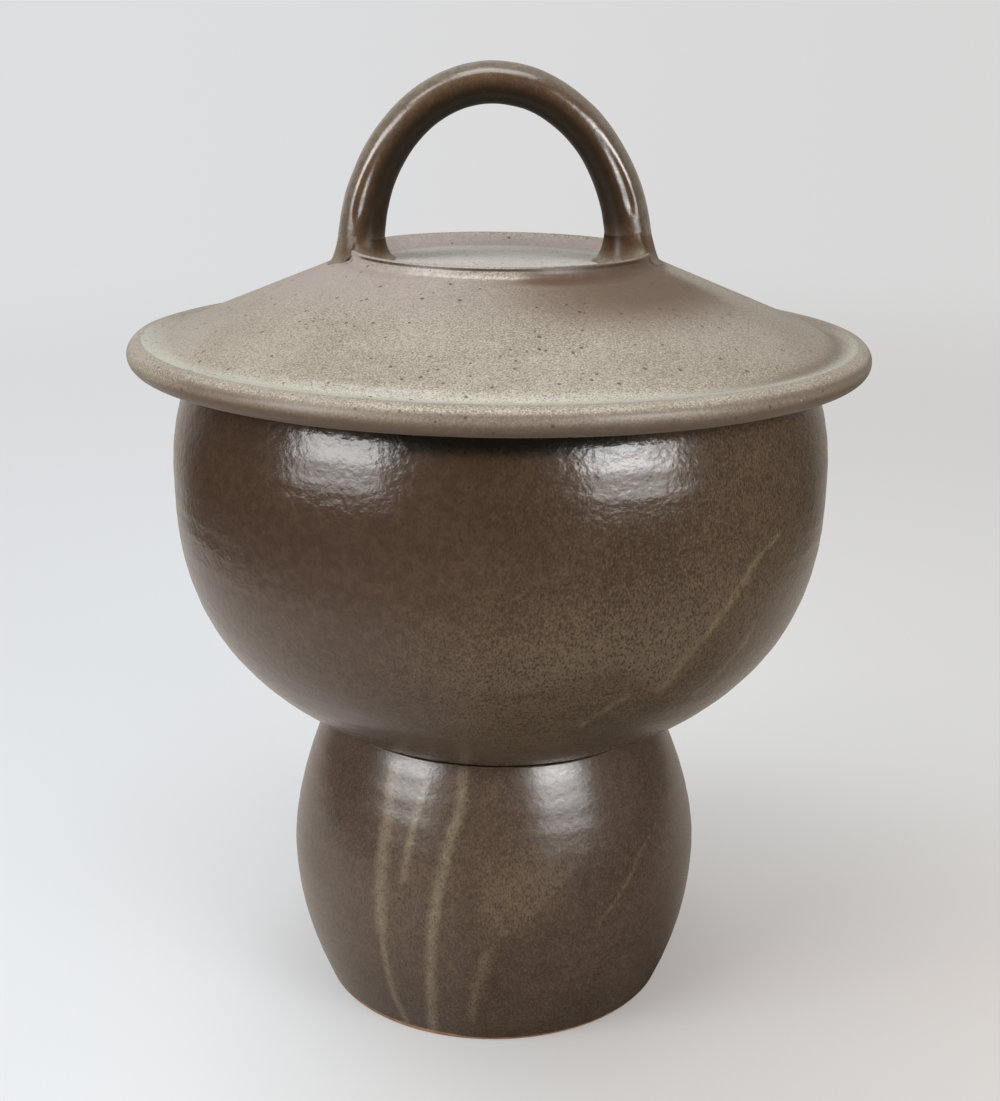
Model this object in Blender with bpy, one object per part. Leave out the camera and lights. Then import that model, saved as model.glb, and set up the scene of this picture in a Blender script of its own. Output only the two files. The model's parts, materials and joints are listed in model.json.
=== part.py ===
"""Lidded stoneware jar: a round bowl on a hollow pedestal foot, under a wide cone lid with an arched handle.

Lengths are in metres and +Z is up. The origin is on the table, under the middle of the lid.
The bowl leans a little on its foot, as the photographed jar does, and the lid lies square on the bowl.
"""

import math

import bmesh
import bpy

# How finely the pieces are divided
TURN_STEPS = 64
FOOT_OUTSIDE_POINTS = 13
FOOT_INSIDE_POINTS = 8
COIL_POINTS = 4
BOWL_OUTSIDE_POINTS = 16
BOWL_INSIDE_POINTS = 12
BOWL_SHOULDER_POINTS = 5
BOWL_SPACING_POWER = 1.3
LID_CURVE_POINTS = 2
LID_CREST_POINTS = 1
LID_CONE_POINTS = 3
LID_ROLL_POINTS = 9
HANDLE_SIDES = 16
HANDLE_ARCH_POINTS = 20
HANDLE_LEG_POINTS = 3
ROOT_SIDES = 20
ROOT_FLARE_POINTS = 6
MERGE_DISTANCE = 0.00001

# Clearances
SEAT_GAP = 0.0003
CUT_OVERRUN = 0.004
LID_SIDE_CLEARANCE = 0.002

# Pedestal foot: a bulging wall, open underneath
FOOT_BELLY_RADIUS = 0.0838
FOOT_BELLY_HEIGHT = 0.0572
FOOT_NECK_HEIGHT = 0.1166
FOOT_BASE_DRAW_IN = 0.0131
FOOT_NECK_DRAW_IN = 0.0165
FOOT_LOWER_POWER = 2.0
FOOT_UPPER_POWER = 1.7
FOOT_WALL = 0.0085
FOOT_BASE_EDGE = 0.0015

# Clay coil that seals the joint from inside
COIL_WIDTH = 0.0085
COIL_DROP = 0.0145

# Bowl: its rounded bottom sits in the foot's neck, and its shoulder draws in towards the rim
BOWL_BELLY_RADIUS = 0.1277
BOWL_BELLY_RISE = 0.1229
BOWL_HEIGHT_POWER = 2.79
BOWL_RADIUS_POWER = 1.56
BOWL_SHOULDER_RISE = 0.041
BOWL_SHOULDER_DRAW_IN = 0.0098
BOWL_SHOULDER_POWER = 2.0
BOWL_WALL = 0.0075
BOWL_FLOOR = 0.009
BOWL_RIM_EDGE = 0.002
BOWL_LEAN = math.radians(0.66)
BOWL_OFFSET_ON_FOOT = 0.0014

# Lid: a shallow dish inside a raised ring, a cone, a groove and a rolled rim
LID_OVERHANG = 0.0241
LID_ROLL_RADIUS = 0.0052
LID_ROLL_HEIGHT = 0.0029
LID_GROOVE_INSET = 0.0122
LID_GROOVE_HEIGHT = 0.0073
LID_CONE_INSET = 0.021
LID_CONE_FOOT_HEIGHT = 0.0113
LID_CONE_RISE = 0.0238
LID_DISH_RADIUS = 0.0495
LID_DISH_WALL_WIDTH = 0.008
LID_DISH_DEPTH = 0.0047
LID_RING_EDGE = 0.0009
LID_RING_RISE = 0.005
LID_STEP_WIDTH = 0.005
LID_THICKNESS = 0.009
LID_SLIP = -0.001

# Locating flange under the lid
FLANGE_WALL = 0.007
FLANGE_DEPTH = 0.015
FLANGE_EDGE = 0.002
FLANGE_LAND = 0.002

# Handle: an oval bar bent to an arch, thicker in its legs
HANDLE_HALF_SPAN = 0.0512
HANDLE_LEG_RISE = 0.0025
HANDLE_ARCH_RISE = 0.0632
HANDLE_TOP_THICKNESS = 0.0159
HANDLE_LEG_THICKNESS = 0.0187
HANDLE_TOP_DEPTH = 0.0205
HANDLE_LEG_DEPTH = 0.0225
HANDLE_SHIFT = -0.0009
HANDLE_LEAN = math.radians(-1.9)

# Clay smeared round each leg where it meets the lid
ROOT_SPREAD = 0.0038
ROOT_RISE = 0.013
ROOT_EDGE = 0.0008
ROOT_FLARE_POWER = 1.3

GLAZES = {
    "bowl": ((0.091, 0.058, 0.042), 0.38),
    "pedestal_foot": ((0.105, 0.070, 0.050), 0.40),
    "luting_coil": ((0.270, 0.175, 0.115), 0.85),
    "lid": ((0.305, 0.255, 0.188), 0.52),
    "lid_flange": ((0.240, 0.190, 0.135), 0.60),
    "lid_handle": ((0.105, 0.068, 0.047), 0.32),
    "handle_root_left": ((0.250, 0.235, 0.170), 0.45),
    "handle_root_right": ((0.250, 0.235, 0.170), 0.45),
}


def clear_scene():
    for obj in list(bpy.data.objects):
        bpy.data.objects.remove(obj, do_unlink=True)


def glaze_for(name):
    colour, roughness = GLAZES[name]
    material = bpy.data.materials.new(name + "_glaze")
    material.use_nodes = True
    shader = material.node_tree.nodes["Principled BSDF"]
    shader.inputs["Base Color"].default_value = (*colour, 1.0)
    shader.inputs["Roughness"].default_value = roughness
    shader.inputs["Metallic"].default_value = 0.0
    return material


def empty(name, parent, location, lean):
    """An axis that pieces hang from, turned about Y by lean."""
    axis = bpy.data.objects.new(name, None)
    axis.parent = parent
    axis.location = location
    axis.rotation_euler = (0, lean, 0)
    bpy.context.collection.objects.link(axis)
    return axis


def add_object(name, mesh, parent):
    obj = bpy.data.objects.new(name, mesh)
    obj.parent = parent
    bpy.context.collection.objects.link(obj)
    if name in GLAZES:
        mesh.materials.append(glaze_for(name))
    else:
        obj.hide_render = True
        obj.display_type = "WIRE"
    return obj


def turned(name, outline, parent, closed):
    """A body of revolution about local Z. The outline runs down its outer side."""
    mesh = bpy.data.meshes.new(name)
    points = [(radius, 0, height) for radius, height in outline]
    edges = [(i, i + 1) for i in range(len(points) - 1)]
    if closed:
        edges.append((len(points) - 1, 0))
    mesh.from_pydata(points, edges, [])
    obj = add_object(name, mesh, parent)
    screw = obj.modifiers.new("turn", "SCREW")
    screw.axis = "Z"
    screw.angle = math.tau
    screw.steps = TURN_STEPS
    screw.render_steps = TURN_STEPS
    screw.use_merge_vertices = True
    screw.merge_threshold = MERGE_DISTANCE
    screw.use_smooth_shade = True
    return obj


def cut(obj, cutter):
    boolean = obj.modifiers.new("cut_by_" + cutter.name, "BOOLEAN")
    boolean.operation = "DIFFERENCE"
    boolean.solver = "EXACT"
    boolean.object = cutter


def mix(start, end, share):
    return start + (end - start) * share


def shares(count):
    """Evenly spaced shares from 0 to 1, with both ends."""
    return [i / (count - 1) for i in range(count)]


def arc(centre, radius, start_degrees, end_degrees, count):
    points = []
    for share in shares(count):
        angle = math.radians(mix(start_degrees, end_degrees, share))
        points.append((centre[0] + radius * math.cos(angle), centre[1] + radius * math.sin(angle)))
    return points


def bezier(start, start_pull, end_pull, end, count):
    """A cubic curve, as count points without its two ends."""
    points = []
    for share in shares(count + 2)[1:-1]:
        rest = 1 - share
        weights = (rest**3, 3 * rest**2 * share, 3 * rest * share**2, share**3)
        corners = (start, start_pull, end_pull, end)
        points.append(tuple(sum(w * c[i] for w, c in zip(weights, corners)) for i in (0, 1)))
    return points


def offset_outwards(outline, distance):
    """The outline moved square to itself, to the left of its run. Points on the axis stay on it."""
    moved = []
    for i, (radius, height) in enumerate(outline):
        before = outline[max(i - 1, 0)]
        after = outline[min(i + 1, len(outline) - 1)]
        along = (after[0] - before[0], after[1] - before[1])
        length = math.hypot(*along)
        new_radius = radius - distance * along[1] / length
        new_height = height + distance * along[0] / length
        moved.append((new_radius if radius > 0 else 0, new_height))
    return moved


def foot_radius(height):
    """Radius of the foot's outside at a height above the table."""
    if height < FOOT_BELLY_HEIGHT:
        share = (FOOT_BELLY_HEIGHT - height) / FOOT_BELLY_HEIGHT
        return FOOT_BELLY_RADIUS - FOOT_BASE_DRAW_IN * share**FOOT_LOWER_POWER
    share = (height - FOOT_BELLY_HEIGHT) / (FOOT_NECK_HEIGHT - FOOT_BELLY_HEIGHT)
    return FOOT_BELLY_RADIUS - FOOT_NECK_DRAW_IN * share**FOOT_UPPER_POWER


def foot_hollow_radius(height):
    return foot_radius(height) - FOOT_WALL


def make_foot(parent, bowl_cutter):
    top = FOOT_NECK_HEIGHT + CUT_OVERRUN
    low = FOOT_BASE_EDGE
    outside = [(foot_radius(h), h) for h in (mix(top, low, share) for share in shares(FOOT_OUTSIDE_POINTS))]
    inside = [(foot_hollow_radius(h), h) for h in (mix(low, top, share) for share in shares(FOOT_INSIDE_POINTS))]
    ring = [
        (foot_radius(low) - FOOT_BASE_EDGE, 0),
        (foot_hollow_radius(low) + FOOT_BASE_EDGE, 0),
    ]
    foot = turned("pedestal_foot", outside + ring + inside, parent, closed=True)
    cut(foot, bowl_cutter)


def make_coil(parent, bowl_cutter):
    top = FOOT_NECK_HEIGHT + CUT_OVERRUN
    low = FOOT_NECK_HEIGHT - COIL_DROP
    outside = []
    for share in shares(COIL_POINTS):
        height = mix(top, low, share)
        outside.append((foot_hollow_radius(height) - SEAT_GAP, height))
    inner_top = (foot_hollow_radius(top) - COIL_WIDTH, top)
    bulge = (foot_hollow_radius(low) - COIL_WIDTH, low)
    face = bezier(outside[-1], bulge, bulge, inner_top, COIL_POINTS)
    coil = turned("luting_coil", outside + face + [inner_top], parent, closed=True)
    cut(coil, bowl_cutter)


def bowl_wall_below_belly(radius, depth, count):
    """From the belly down to the middle of the bottom, with the belly at height BOWL_BELLY_RISE."""
    points = []
    for share in shares(count):
        angle = share**BOWL_SPACING_POWER * math.pi / 2
        if share == 1:
            points.append((0, BOWL_BELLY_RISE - depth))
            continue
        across = radius * math.cos(angle) ** (2 / BOWL_RADIUS_POWER)
        down = depth * math.sin(angle) ** (2 / BOWL_HEIGHT_POWER)
        points.append((across, BOWL_BELLY_RISE - down))
    return points


def bowl_rise_at(radius):
    """Height over the bowl's bottom of its underside, at a distance from its axis."""
    inward = 1 - (radius / BOWL_BELLY_RADIUS) ** BOWL_RADIUS_POWER
    return BOWL_BELLY_RISE * (1 - inward ** (1 / BOWL_HEIGHT_POWER))


def bowl_bottom_height():
    """The bowl sits as low as the outer edge of the foot's neck lets it."""
    return FOOT_NECK_HEIGHT - bowl_rise_at(foot_radius(FOOT_NECK_HEIGHT))


def bowl_shoulder_radius(rise):
    return BOWL_BELLY_RADIUS - BOWL_SHOULDER_DRAW_IN * (rise / BOWL_SHOULDER_RISE) ** BOWL_SHOULDER_POWER


def bowl_outside_below_belly():
    return bowl_wall_below_belly(BOWL_BELLY_RADIUS, BOWL_BELLY_RISE, BOWL_OUTSIDE_POINTS)


def bowl_rim_height():
    """Height of the rim over the bowl's bottom."""
    return BOWL_BELLY_RISE + BOWL_SHOULDER_RISE


def bowl_rim_radius():
    return bowl_shoulder_radius(BOWL_SHOULDER_RISE)


def bowl_mouth_radius():
    return bowl_rim_radius() - BOWL_WALL


def make_bowl(parent):
    inner_radius = BOWL_BELLY_RADIUS - BOWL_WALL
    inner_depth = BOWL_BELLY_RISE - BOWL_FLOOR
    shoulder_top = BOWL_SHOULDER_RISE - BOWL_RIM_EDGE
    inside = bowl_wall_below_belly(inner_radius, inner_depth, BOWL_INSIDE_POINTS)[::-1]
    outside = []
    for share in shares(BOWL_SHOULDER_POINTS)[1:]:
        rise = mix(0, shoulder_top, share)
        inside.append((bowl_shoulder_radius(rise) - BOWL_WALL, BOWL_BELLY_RISE + rise))
        outside.append((bowl_shoulder_radius(rise), BOWL_BELLY_RISE + rise))
    rim = [
        (bowl_mouth_radius() + BOWL_RIM_EDGE, bowl_rim_height()),
        (bowl_rim_radius() - BOWL_RIM_EDGE, bowl_rim_height()),
    ]
    turned("bowl", inside + rim + outside[::-1] + bowl_outside_below_belly(), parent, closed=False)


def make_bowl_cutter(parent):
    """The bowl's underside, one seat gap larger, as a solid."""
    underside = bowl_outside_below_belly()
    grown = offset_outwards(underside[::-1], -SEAT_GAP)[::-1]
    lid_over_it = [(0, BOWL_BELLY_RISE), (grown[0][0], BOWL_BELLY_RISE)]
    return turned("bowl_cutter", lid_over_it + grown[1:], parent, closed=False)


def lid_radius():
    return bowl_rim_radius() + LID_OVERHANG


def lid_slope():
    """How steeply the lid's cone falls outwards."""
    return LID_CONE_RISE / (lid_radius() - LID_CONE_INSET - lid_shoulder_radius())


def lid_shoulder_radius():
    return LID_DISH_RADIUS + LID_DISH_WALL_WIDTH + LID_STEP_WIDTH


def lid_shoulder_height():
    return LID_CONE_FOOT_HEIGHT + LID_CONE_RISE


def lid_dish_height():
    """Height of the dish's floor over the plane of the bowl's rim."""
    return lid_shoulder_height() + LID_RING_RISE - LID_DISH_DEPTH


def lid_top_outline():
    """The lid's upper side, from its middle out to the top of the rolled rim."""
    ring_radius = LID_DISH_RADIUS + LID_DISH_WALL_WIDTH
    ring_height = lid_shoulder_height() + LID_RING_RISE
    ring_outer = (ring_radius, ring_height - LID_RING_EDGE)
    ring_top = (ring_radius - LID_RING_EDGE, ring_height)
    ring_inner = (ring_radius - 2 * LID_RING_EDGE, ring_height - LID_RING_EDGE / 2)
    dish = (LID_DISH_RADIUS, lid_dish_height())
    shoulder = (lid_shoulder_radius(), lid_shoulder_height())
    cone_foot = (lid_radius() - LID_CONE_INSET, LID_CONE_FOOT_HEIGHT)
    groove = (lid_radius() - LID_GROOVE_INSET, LID_GROOVE_HEIGHT)
    crest = (lid_radius() - LID_ROLL_RADIUS, LID_ROLL_HEIGHT + LID_ROLL_RADIUS)
    pull = (LID_CONE_INSET - LID_GROOVE_INSET) / 2
    before_groove = (groove[0] - pull, groove[1])
    after_groove = (groove[0] + pull / 2, groove[1])
    before_crest = (crest[0] - pull / 2, crest[1])
    after_cone = (cone_foot[0] + pull, cone_foot[1] - pull * lid_slope())
    shoulder_pull = (ring_radius, shoulder[1] + LID_STEP_WIDTH * lid_slope())
    cone = [
        (mix(shoulder[0], cone_foot[0], share), mix(shoulder[1], cone_foot[1], share))
        for share in shares(LID_CONE_POINTS)
    ]
    return [
        (0, dish[1]),
        dish,
        *bezier(dish, (ring_inner[0], dish[1]), ring_inner, ring_inner, LID_CURVE_POINTS),
        ring_inner,
        ring_top,
        ring_outer,
        *bezier(ring_outer, shoulder_pull, shoulder_pull, shoulder, LID_CURVE_POINTS),
        *cone,
        *bezier(cone_foot, after_cone, before_groove, groove, LID_CURVE_POINTS),
        groove,
        *bezier(groove, after_groove, before_crest, crest, LID_CREST_POINTS),
    ]


def flange_radius():
    return bowl_mouth_radius() - LID_SIDE_CLEARANCE


def make_lid(parent):
    roll_centre = (lid_radius() - LID_ROLL_RADIUS, LID_ROLL_HEIGHT)
    roll = arc(roll_centre, LID_ROLL_RADIUS, 90, -90, LID_ROLL_POINTS)
    seat_outer = lid_radius() - 2 * LID_ROLL_RADIUS
    land_inner = flange_radius() - FLANGE_WALL - FLANGE_LAND
    slope_top = (LID_DISH_RADIUS, lid_dish_height() - LID_THICKNESS)
    slope_foot_radius = land_inner - FLANGE_LAND
    slope_foot_height = slope_top[1] - (slope_foot_radius - slope_top[0]) * lid_slope()
    underside = [
        (seat_outer, 0),
        (land_inner, 0),
        (slope_foot_radius, slope_foot_height),
        slope_top,
        (0, slope_top[1]),
    ]
    turned("lid", lid_top_outline() + roll + underside, parent, closed=False)


def make_flange(parent):
    outer = flange_radius()
    inner = outer - FLANGE_WALL
    low = -FLANGE_DEPTH
    outline = [
        (outer, -SEAT_GAP),
        (outer, low + FLANGE_EDGE),
        (outer - FLANGE_EDGE, low),
        (inner + FLANGE_EDGE, low),
        (inner, low + FLANGE_EDGE),
        (inner, -SEAT_GAP),
    ]
    turned("lid_flange", outline, parent, closed=True)


def make_lid_cutter(parent):
    """The space that the lid's upper side takes, one seat gap larger, as a solid."""
    top = offset_outwards(lid_top_outline(), SEAT_GAP)
    return turned("lid_cutter", top + [(top[-1][0], 0), (0, 0)], parent, closed=False)


def handle_bar(up_share):
    """Half the bar's thickness and half its depth, at a share of the way up its arch."""
    thickness = mix(HANDLE_LEG_THICKNESS, HANDLE_TOP_THICKNESS, up_share)
    depth = mix(HANDLE_LEG_DEPTH, HANDLE_TOP_DEPTH, up_share)
    return thickness / 2, depth / 2


def handle_centres():
    """Points along the middle of the bar, left foot to right foot.

    Each has its place across and up, its share of the way up the arch, and the way out of the arch there.
    """
    leg_bottom = lid_dish_height() - LID_THICKNESS / 2
    spring_height = lid_dish_height() + HANDLE_LEG_RISE
    leg = [mix(leg_bottom, spring_height, share) for share in shares(HANDLE_LEG_POINTS)[:-1]]
    centres = [(-HANDLE_HALF_SPAN, height, 0, -1, 0) for height in leg]
    for share in shares(HANDLE_ARCH_POINTS):
        angle = math.pi * (1 - share)
        across = HANDLE_HALF_SPAN * math.cos(angle)
        up = HANDLE_ARCH_RISE * math.sin(angle)
        outwards = HANDLE_ARCH_RISE * math.cos(angle)
        upwards = HANDLE_HALF_SPAN * math.sin(angle)
        length = math.hypot(outwards, upwards)
        centres.append((across, spring_height + up, math.sin(angle), outwards / length, upwards / length))
    centres += [(HANDLE_HALF_SPAN, height, 0, 1, 0) for height in reversed(leg)]
    return centres


def oval_ring(centre, half_width, half_depth, outwards, upwards, sides):
    """Points round an oval, its width along (outwards, 0, upwards) and its depth along Y.

    The oval touches the middles of the sides between the points.
    """
    reach = 1 / math.cos(math.pi / sides)
    ring = []
    for side in range(sides):
        angle = math.tau * (side + 1 / 2) / sides
        out = half_width * reach * math.cos(angle)
        forward = half_depth * reach * math.sin(angle)
        ring.append((centre[0] + out * outwards, forward, centre[1] + out * upwards))
    return ring


def lofted_mesh(name, rings):
    """A closed skin through rings of points, with a flat face on each end ring."""
    form = bmesh.new()
    loops = [[form.verts.new(point) for point in ring] for ring in rings]
    for near, far in zip(loops, loops[1:]):
        for side in range(len(near)):
            after = (side + 1) % len(near)
            form.faces.new((near[side], near[after], far[after], far[side]))
    form.faces.new(loops[0][::-1])
    form.faces.new(loops[-1])
    bmesh.ops.recalc_face_normals(form, faces=form.faces)
    mesh = bpy.data.meshes.new(name)
    form.to_mesh(mesh)
    form.free()
    mesh.shade_smooth()
    return mesh


def handle_mesh(name, growth):
    """The oval bar along its arch. growth is added all round, for a cutter."""
    rings = []
    for across, height, up_share, outwards, upwards in handle_centres():
        width, depth = (half + growth for half in handle_bar(up_share))
        rings.append(oval_ring((across, height), width, depth, outwards, upwards, HANDLE_SIDES))
    return lofted_mesh(name, rings)


def make_handle(parent, lid_cutter):
    handle = add_object("lid_handle", handle_mesh("lid_handle", 0), parent)
    cut(handle, lid_cutter)


def root_mesh(name, side):
    """A flared skirt round one leg of the bar, in the handle's own frame."""
    foot = lid_dish_height() + side * HANDLE_HALF_SPAN * math.tan(HANDLE_LEAN)
    levels = [(-LID_THICKNESS / 2, ROOT_SPREAD)]
    for share in shares(ROOT_FLARE_POINTS):
        levels.append((ROOT_RISE * share, mix(ROOT_EDGE, ROOT_SPREAD, (1 - share) ** ROOT_FLARE_POWER)))
    rings = []
    for rise, spread in levels:
        height = foot + rise
        up_share = max(0, height - lid_dish_height() - HANDLE_LEG_RISE) / HANDLE_ARCH_RISE
        across = side * HANDLE_HALF_SPAN * math.sqrt(1 - up_share**2)
        width, depth = (half + spread for half in handle_bar(up_share))
        rings.append(oval_ring((across, height), width, depth, 1, 0, ROOT_SIDES))
    return lofted_mesh(name, rings)


def make_root(name, side, parent, lid_cutter, handle_cutter):
    """Clay smeared round one leg. side is -1 for the left leg and 1 for the right one."""
    root = add_object(name, root_mesh(name, side), parent)
    cut(root, lid_cutter)
    cut(root, handle_cutter)


def main():
    clear_scene()
    lid_lean_reach = bowl_rim_height() + SEAT_GAP + LID_ROLL_HEIGHT
    bowl_x = -(LID_SLIP * math.cos(BOWL_LEAN) + lid_lean_reach * math.sin(BOWL_LEAN))
    foot_axis = empty("foot_axis", None, (bowl_x - BOWL_OFFSET_ON_FOOT, 0, 0), 0)
    bowl_axis = empty("bowl_axis", None, (bowl_x, 0, bowl_bottom_height()), BOWL_LEAN)
    lid_axis = empty("lid_axis", bowl_axis, (LID_SLIP, 0, bowl_rim_height() + SEAT_GAP), 0)
    handle_axis = empty("handle_axis", lid_axis, (HANDLE_SHIFT, 0, 0), HANDLE_LEAN)

    bowl_cutter = make_bowl_cutter(bowl_axis)
    make_foot(foot_axis, bowl_cutter)
    make_coil(foot_axis, bowl_cutter)
    make_bowl(bowl_axis)

    make_lid(lid_axis)
    make_flange(lid_axis)
    lid_cutter = make_lid_cutter(lid_axis)
    make_handle(handle_axis, lid_cutter)
    handle_cutter = add_object("handle_cutter", handle_mesh("handle_cutter", SEAT_GAP), handle_axis)
    make_root("handle_root_left", -1, handle_axis, lid_cutter, handle_cutter)
    make_root("handle_root_right", 1, handle_axis, lid_cutter, handle_cutter)


main()
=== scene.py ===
"""Looks of a lidded stoneware jar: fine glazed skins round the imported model, on a pale studio floor.

Lengths are in metres and +Z is up. An azimuth is in degrees round a piece's axis, 0 towards the camera
and 90 to the camera's right. Outlines are rows of (radius, height), the foot's heights over the table, the
bowl's over its own bottom and the lid's over the plane that it rests on.
"""

import json
import math

import bpy
import numpy as np
from mathutils import Matrix, Vector, noise

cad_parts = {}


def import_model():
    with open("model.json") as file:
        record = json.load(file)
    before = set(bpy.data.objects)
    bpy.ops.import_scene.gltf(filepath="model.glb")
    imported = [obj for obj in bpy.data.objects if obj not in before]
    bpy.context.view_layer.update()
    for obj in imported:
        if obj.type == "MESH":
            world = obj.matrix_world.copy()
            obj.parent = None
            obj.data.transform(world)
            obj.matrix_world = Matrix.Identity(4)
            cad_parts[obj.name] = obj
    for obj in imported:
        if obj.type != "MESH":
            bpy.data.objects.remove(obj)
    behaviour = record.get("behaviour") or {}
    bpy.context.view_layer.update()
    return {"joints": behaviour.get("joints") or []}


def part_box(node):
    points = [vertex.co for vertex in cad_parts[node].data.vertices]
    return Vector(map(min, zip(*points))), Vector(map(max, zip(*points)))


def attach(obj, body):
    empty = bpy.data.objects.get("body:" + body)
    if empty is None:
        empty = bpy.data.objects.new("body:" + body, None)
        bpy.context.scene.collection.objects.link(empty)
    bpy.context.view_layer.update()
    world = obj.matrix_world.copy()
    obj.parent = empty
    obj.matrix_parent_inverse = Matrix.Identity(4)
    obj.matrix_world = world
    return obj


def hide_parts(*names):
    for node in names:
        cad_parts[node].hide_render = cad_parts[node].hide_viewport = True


# Fineness of the skins
TURN_SEGMENTS = 320
LID_SEGMENTS = 360
FLOOR_SIDES = 96
OUTSIDE_SPACING = 0.0014
INSIDE_SPACING = 0.003
CORNER_SPACING = 0.0004
HANDLE_SIDES = 72
HANDLE_SPACING = 0.0011
ROOT_SIDES = 96
ROOT_LEVELS = 18

# Foot
FOOT_BELLY_RADIUS = 0.0838
FOOT_BELLY_HEIGHT = 0.0572
FOOT_NECK_HEIGHT = 0.1166
FOOT_BASE_DRAW_IN = 0.0131
FOOT_NECK_DRAW_IN = 0.0165
FOOT_LOWER_POWER = 2.0
FOOT_UPPER_POWER = 1.7
FOOT_WALL = 0.0085
FOOT_BASE_EDGE = 0.0016
FOOT_LIP = 0.0006
COIL_WIDTH = 0.0085
COIL_DROP = 0.0145

# Bowl
BOWL_BELLY_RADIUS = 0.1277
BOWL_BELLY_RISE = 0.1229
BOWL_HEIGHT_POWER = 2.79
BOWL_RADIUS_POWER = 1.56
BOWL_SHOULDER_RISE = 0.041
BOWL_SHOULDER_DRAW_IN = 0.0098
BOWL_WALL = 0.0075
BOWL_FLOOR = 0.009
BOWL_RIM_ROUND = 0.0028
BOWL_OFFSET_ON_FOOT = 0.0014
SEAT_GAP = 0.0003

# Lid
LID_RADIUS = 0.142
LID_ROLL_RADIUS = 0.0052
LID_ROLL_HEIGHT = 0.0029
LID_GROOVE_INSET = 0.0122
LID_GROOVE_HEIGHT = 0.0073
LID_CONE_INSET = 0.021
LID_CONE_FOOT_HEIGHT = 0.0113
LID_CONE_RISE = 0.0238
LID_DISH_RADIUS = 0.0495
LID_DISH_WALL_WIDTH = 0.008
LID_DISH_DEPTH = 0.0047
LID_RING_EDGE = 0.0009
LID_RING_RISE = 0.005
LID_STEP_WIDTH = 0.005
LID_THICKNESS = 0.009
LID_SLIP = -0.001
FLANGE_RADIUS = 0.1084
FLANGE_WALL = 0.007
FLANGE_DEPTH = 0.015
FLANGE_LAND = 0.002

# Handle
HANDLE_HALF_SPAN = 0.0512
HANDLE_LEG_RISE = 0.0025
HANDLE_ARCH_RISE = 0.0632
HANDLE_TOP_THICKNESS = 0.0159
HANDLE_LEG_THICKNESS = 0.0187
HANDLE_TOP_DEPTH = 0.0205
HANDLE_LEG_DEPTH = 0.0225
HANDLE_SHIFT = -0.0009
HANDLE_LEAN = math.radians(-1.9)
HANDLE_SHOULDER_TRIM = 0.0005
HANDLE_SQUARENESS = 2.25
ROOT_SPREAD = 0.0042
ROOT_RISE = 0.014
ROOT_SINK = 0.0006

# Marks of throwing and of wear. FLATTENED makes the features of a noise wider than they are high.
RIDGE_HEIGHT = 0.00006
BOWL_RIDGE_SPACING = 0.0085
FOOT_RIDGE_SPACING = 0.009
LID_RIDGE_SPACING = 0.0075
INSIDE_RIDGES = 3.0
FLATTENED = np.array([1, 1, 3])
BACK_WEAR = 0.0013
COIL_PRESS_DEGREES = 15
BAR_GROOVE_DEPTH = 0.0009

# Camera, worked out from the photograph's outlines
CAMERA_PLACE = (0.0002, -0.634, 0.3767)
CAMERA_PITCH = math.radians(17.16)
CAMERA_LENS = 53.62
CAMERA_SENSOR = 36

# Soft boxes, upright and turned to the jar: azimuth, distance, width, height, lower edge, radiance.
# Each has a brighter middle just before it and a dimmer strip below it, and the left one has another above.
SOFT_BOXES = {
    "soft_box_left": (-54.0, 1.27, 0.76, 0.76, 0.47, 7.5),
    "soft_box_left_middle": (-54.0, 1.25, 0.64, 0.32, 0.56, 4.6),
    "soft_box_left_foot": (-54.0, 1.27, 0.76, 0.20, 0.27, 4.0),
    "soft_box_left_top": (-54.0, 1.00, 0.36, 0.55, 1.28, 9.0),
    "soft_box_right": (43.0, 1.27, 0.72, 0.56, 0.47, 7.8),
    "soft_box_right_middle": (43.0, 1.25, 0.50, 0.26, 0.61, 10.5),
    "soft_box_right_foot": (43.0, 1.27, 0.64, 0.22, 0.25, 4.4),
}
TOP_LIGHT_PLACE = (-0.05, -0.42, 1.70)
TOP_LIGHT_SIZE = (1.05, 0.75)
TOP_LIGHT_RADIANCE = 5.8

# Colours of the studio: the backdrop from left to right, the dim room before the jar, the fill that lights
# the jar, and the paper floor, whose glow goes from near the jar to further back. That glow is painted light
# and
# shade on the floor: brighter to the left, dimmer and warmer near the jar on the right, where its shadow
# falls, and dimmer at the foot by GLOW_AT_FOOT, a painted contact shadow. Rays that a glossy surface mirrors
# see backdrop and floor warmer by the tint. In front they see the dim room alone, and behind the jar it
# still has the share
# MIRROR_DIM of what they see.
BACKDROP_LEFT = (0.727, 0.734, 0.749)
BACKDROP_RIGHT = (0.690, 0.682, 0.680)
DIM_ROOM = (0.040, 0.038, 0.036)
FILL_BELOW = (0.080, 0.080, 0.082)
FILL_ABOVE = (0.360, 0.360, 0.365)
FILL_BEHIND = (0.300, 0.295, 0.290)
PAPER_LEFT = (0.200, 0.218, 0.232)
PAPER_RIGHT = (0.280, 0.278, 0.273)
GLOW_NEAR_LEFT = (0.530, 0.528, 0.530)
GLOW_NEAR_RIGHT = (0.300, 0.270, 0.250)
GLOW_FAR_LEFT = (0.548, 0.550, 0.558)
GLOW_FAR_RIGHT = (0.408, 0.406, 0.398)
GLOW_AT_FOOT = 0.88
MIRROR_DIM_LEFT = 0.14
MIRROR_DIM_RIGHT = 0.36
MIRROR_TINT = (1.0, 0.91, 0.82)
PAPER_BOUNCE = (0.450, 0.440, 0.430)
FLOOR_REACH = 9.0

# How far backwards mirrored rays see the dim room alone, and from where the pale room, as cosines to
# straight backwards. Pairs are for left and right. Near and far are distances over the floor.
DIM_TO_NEAR = (-1.60, -0.40)
DIM_TO_FAR = 0.50
PALE_FROM_NEAR = (0.05, 0.45)
PALE_FROM_FAR = (0.84, 0.93)
NEAR_AND_FAR = (0.3, 0.8)

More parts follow.
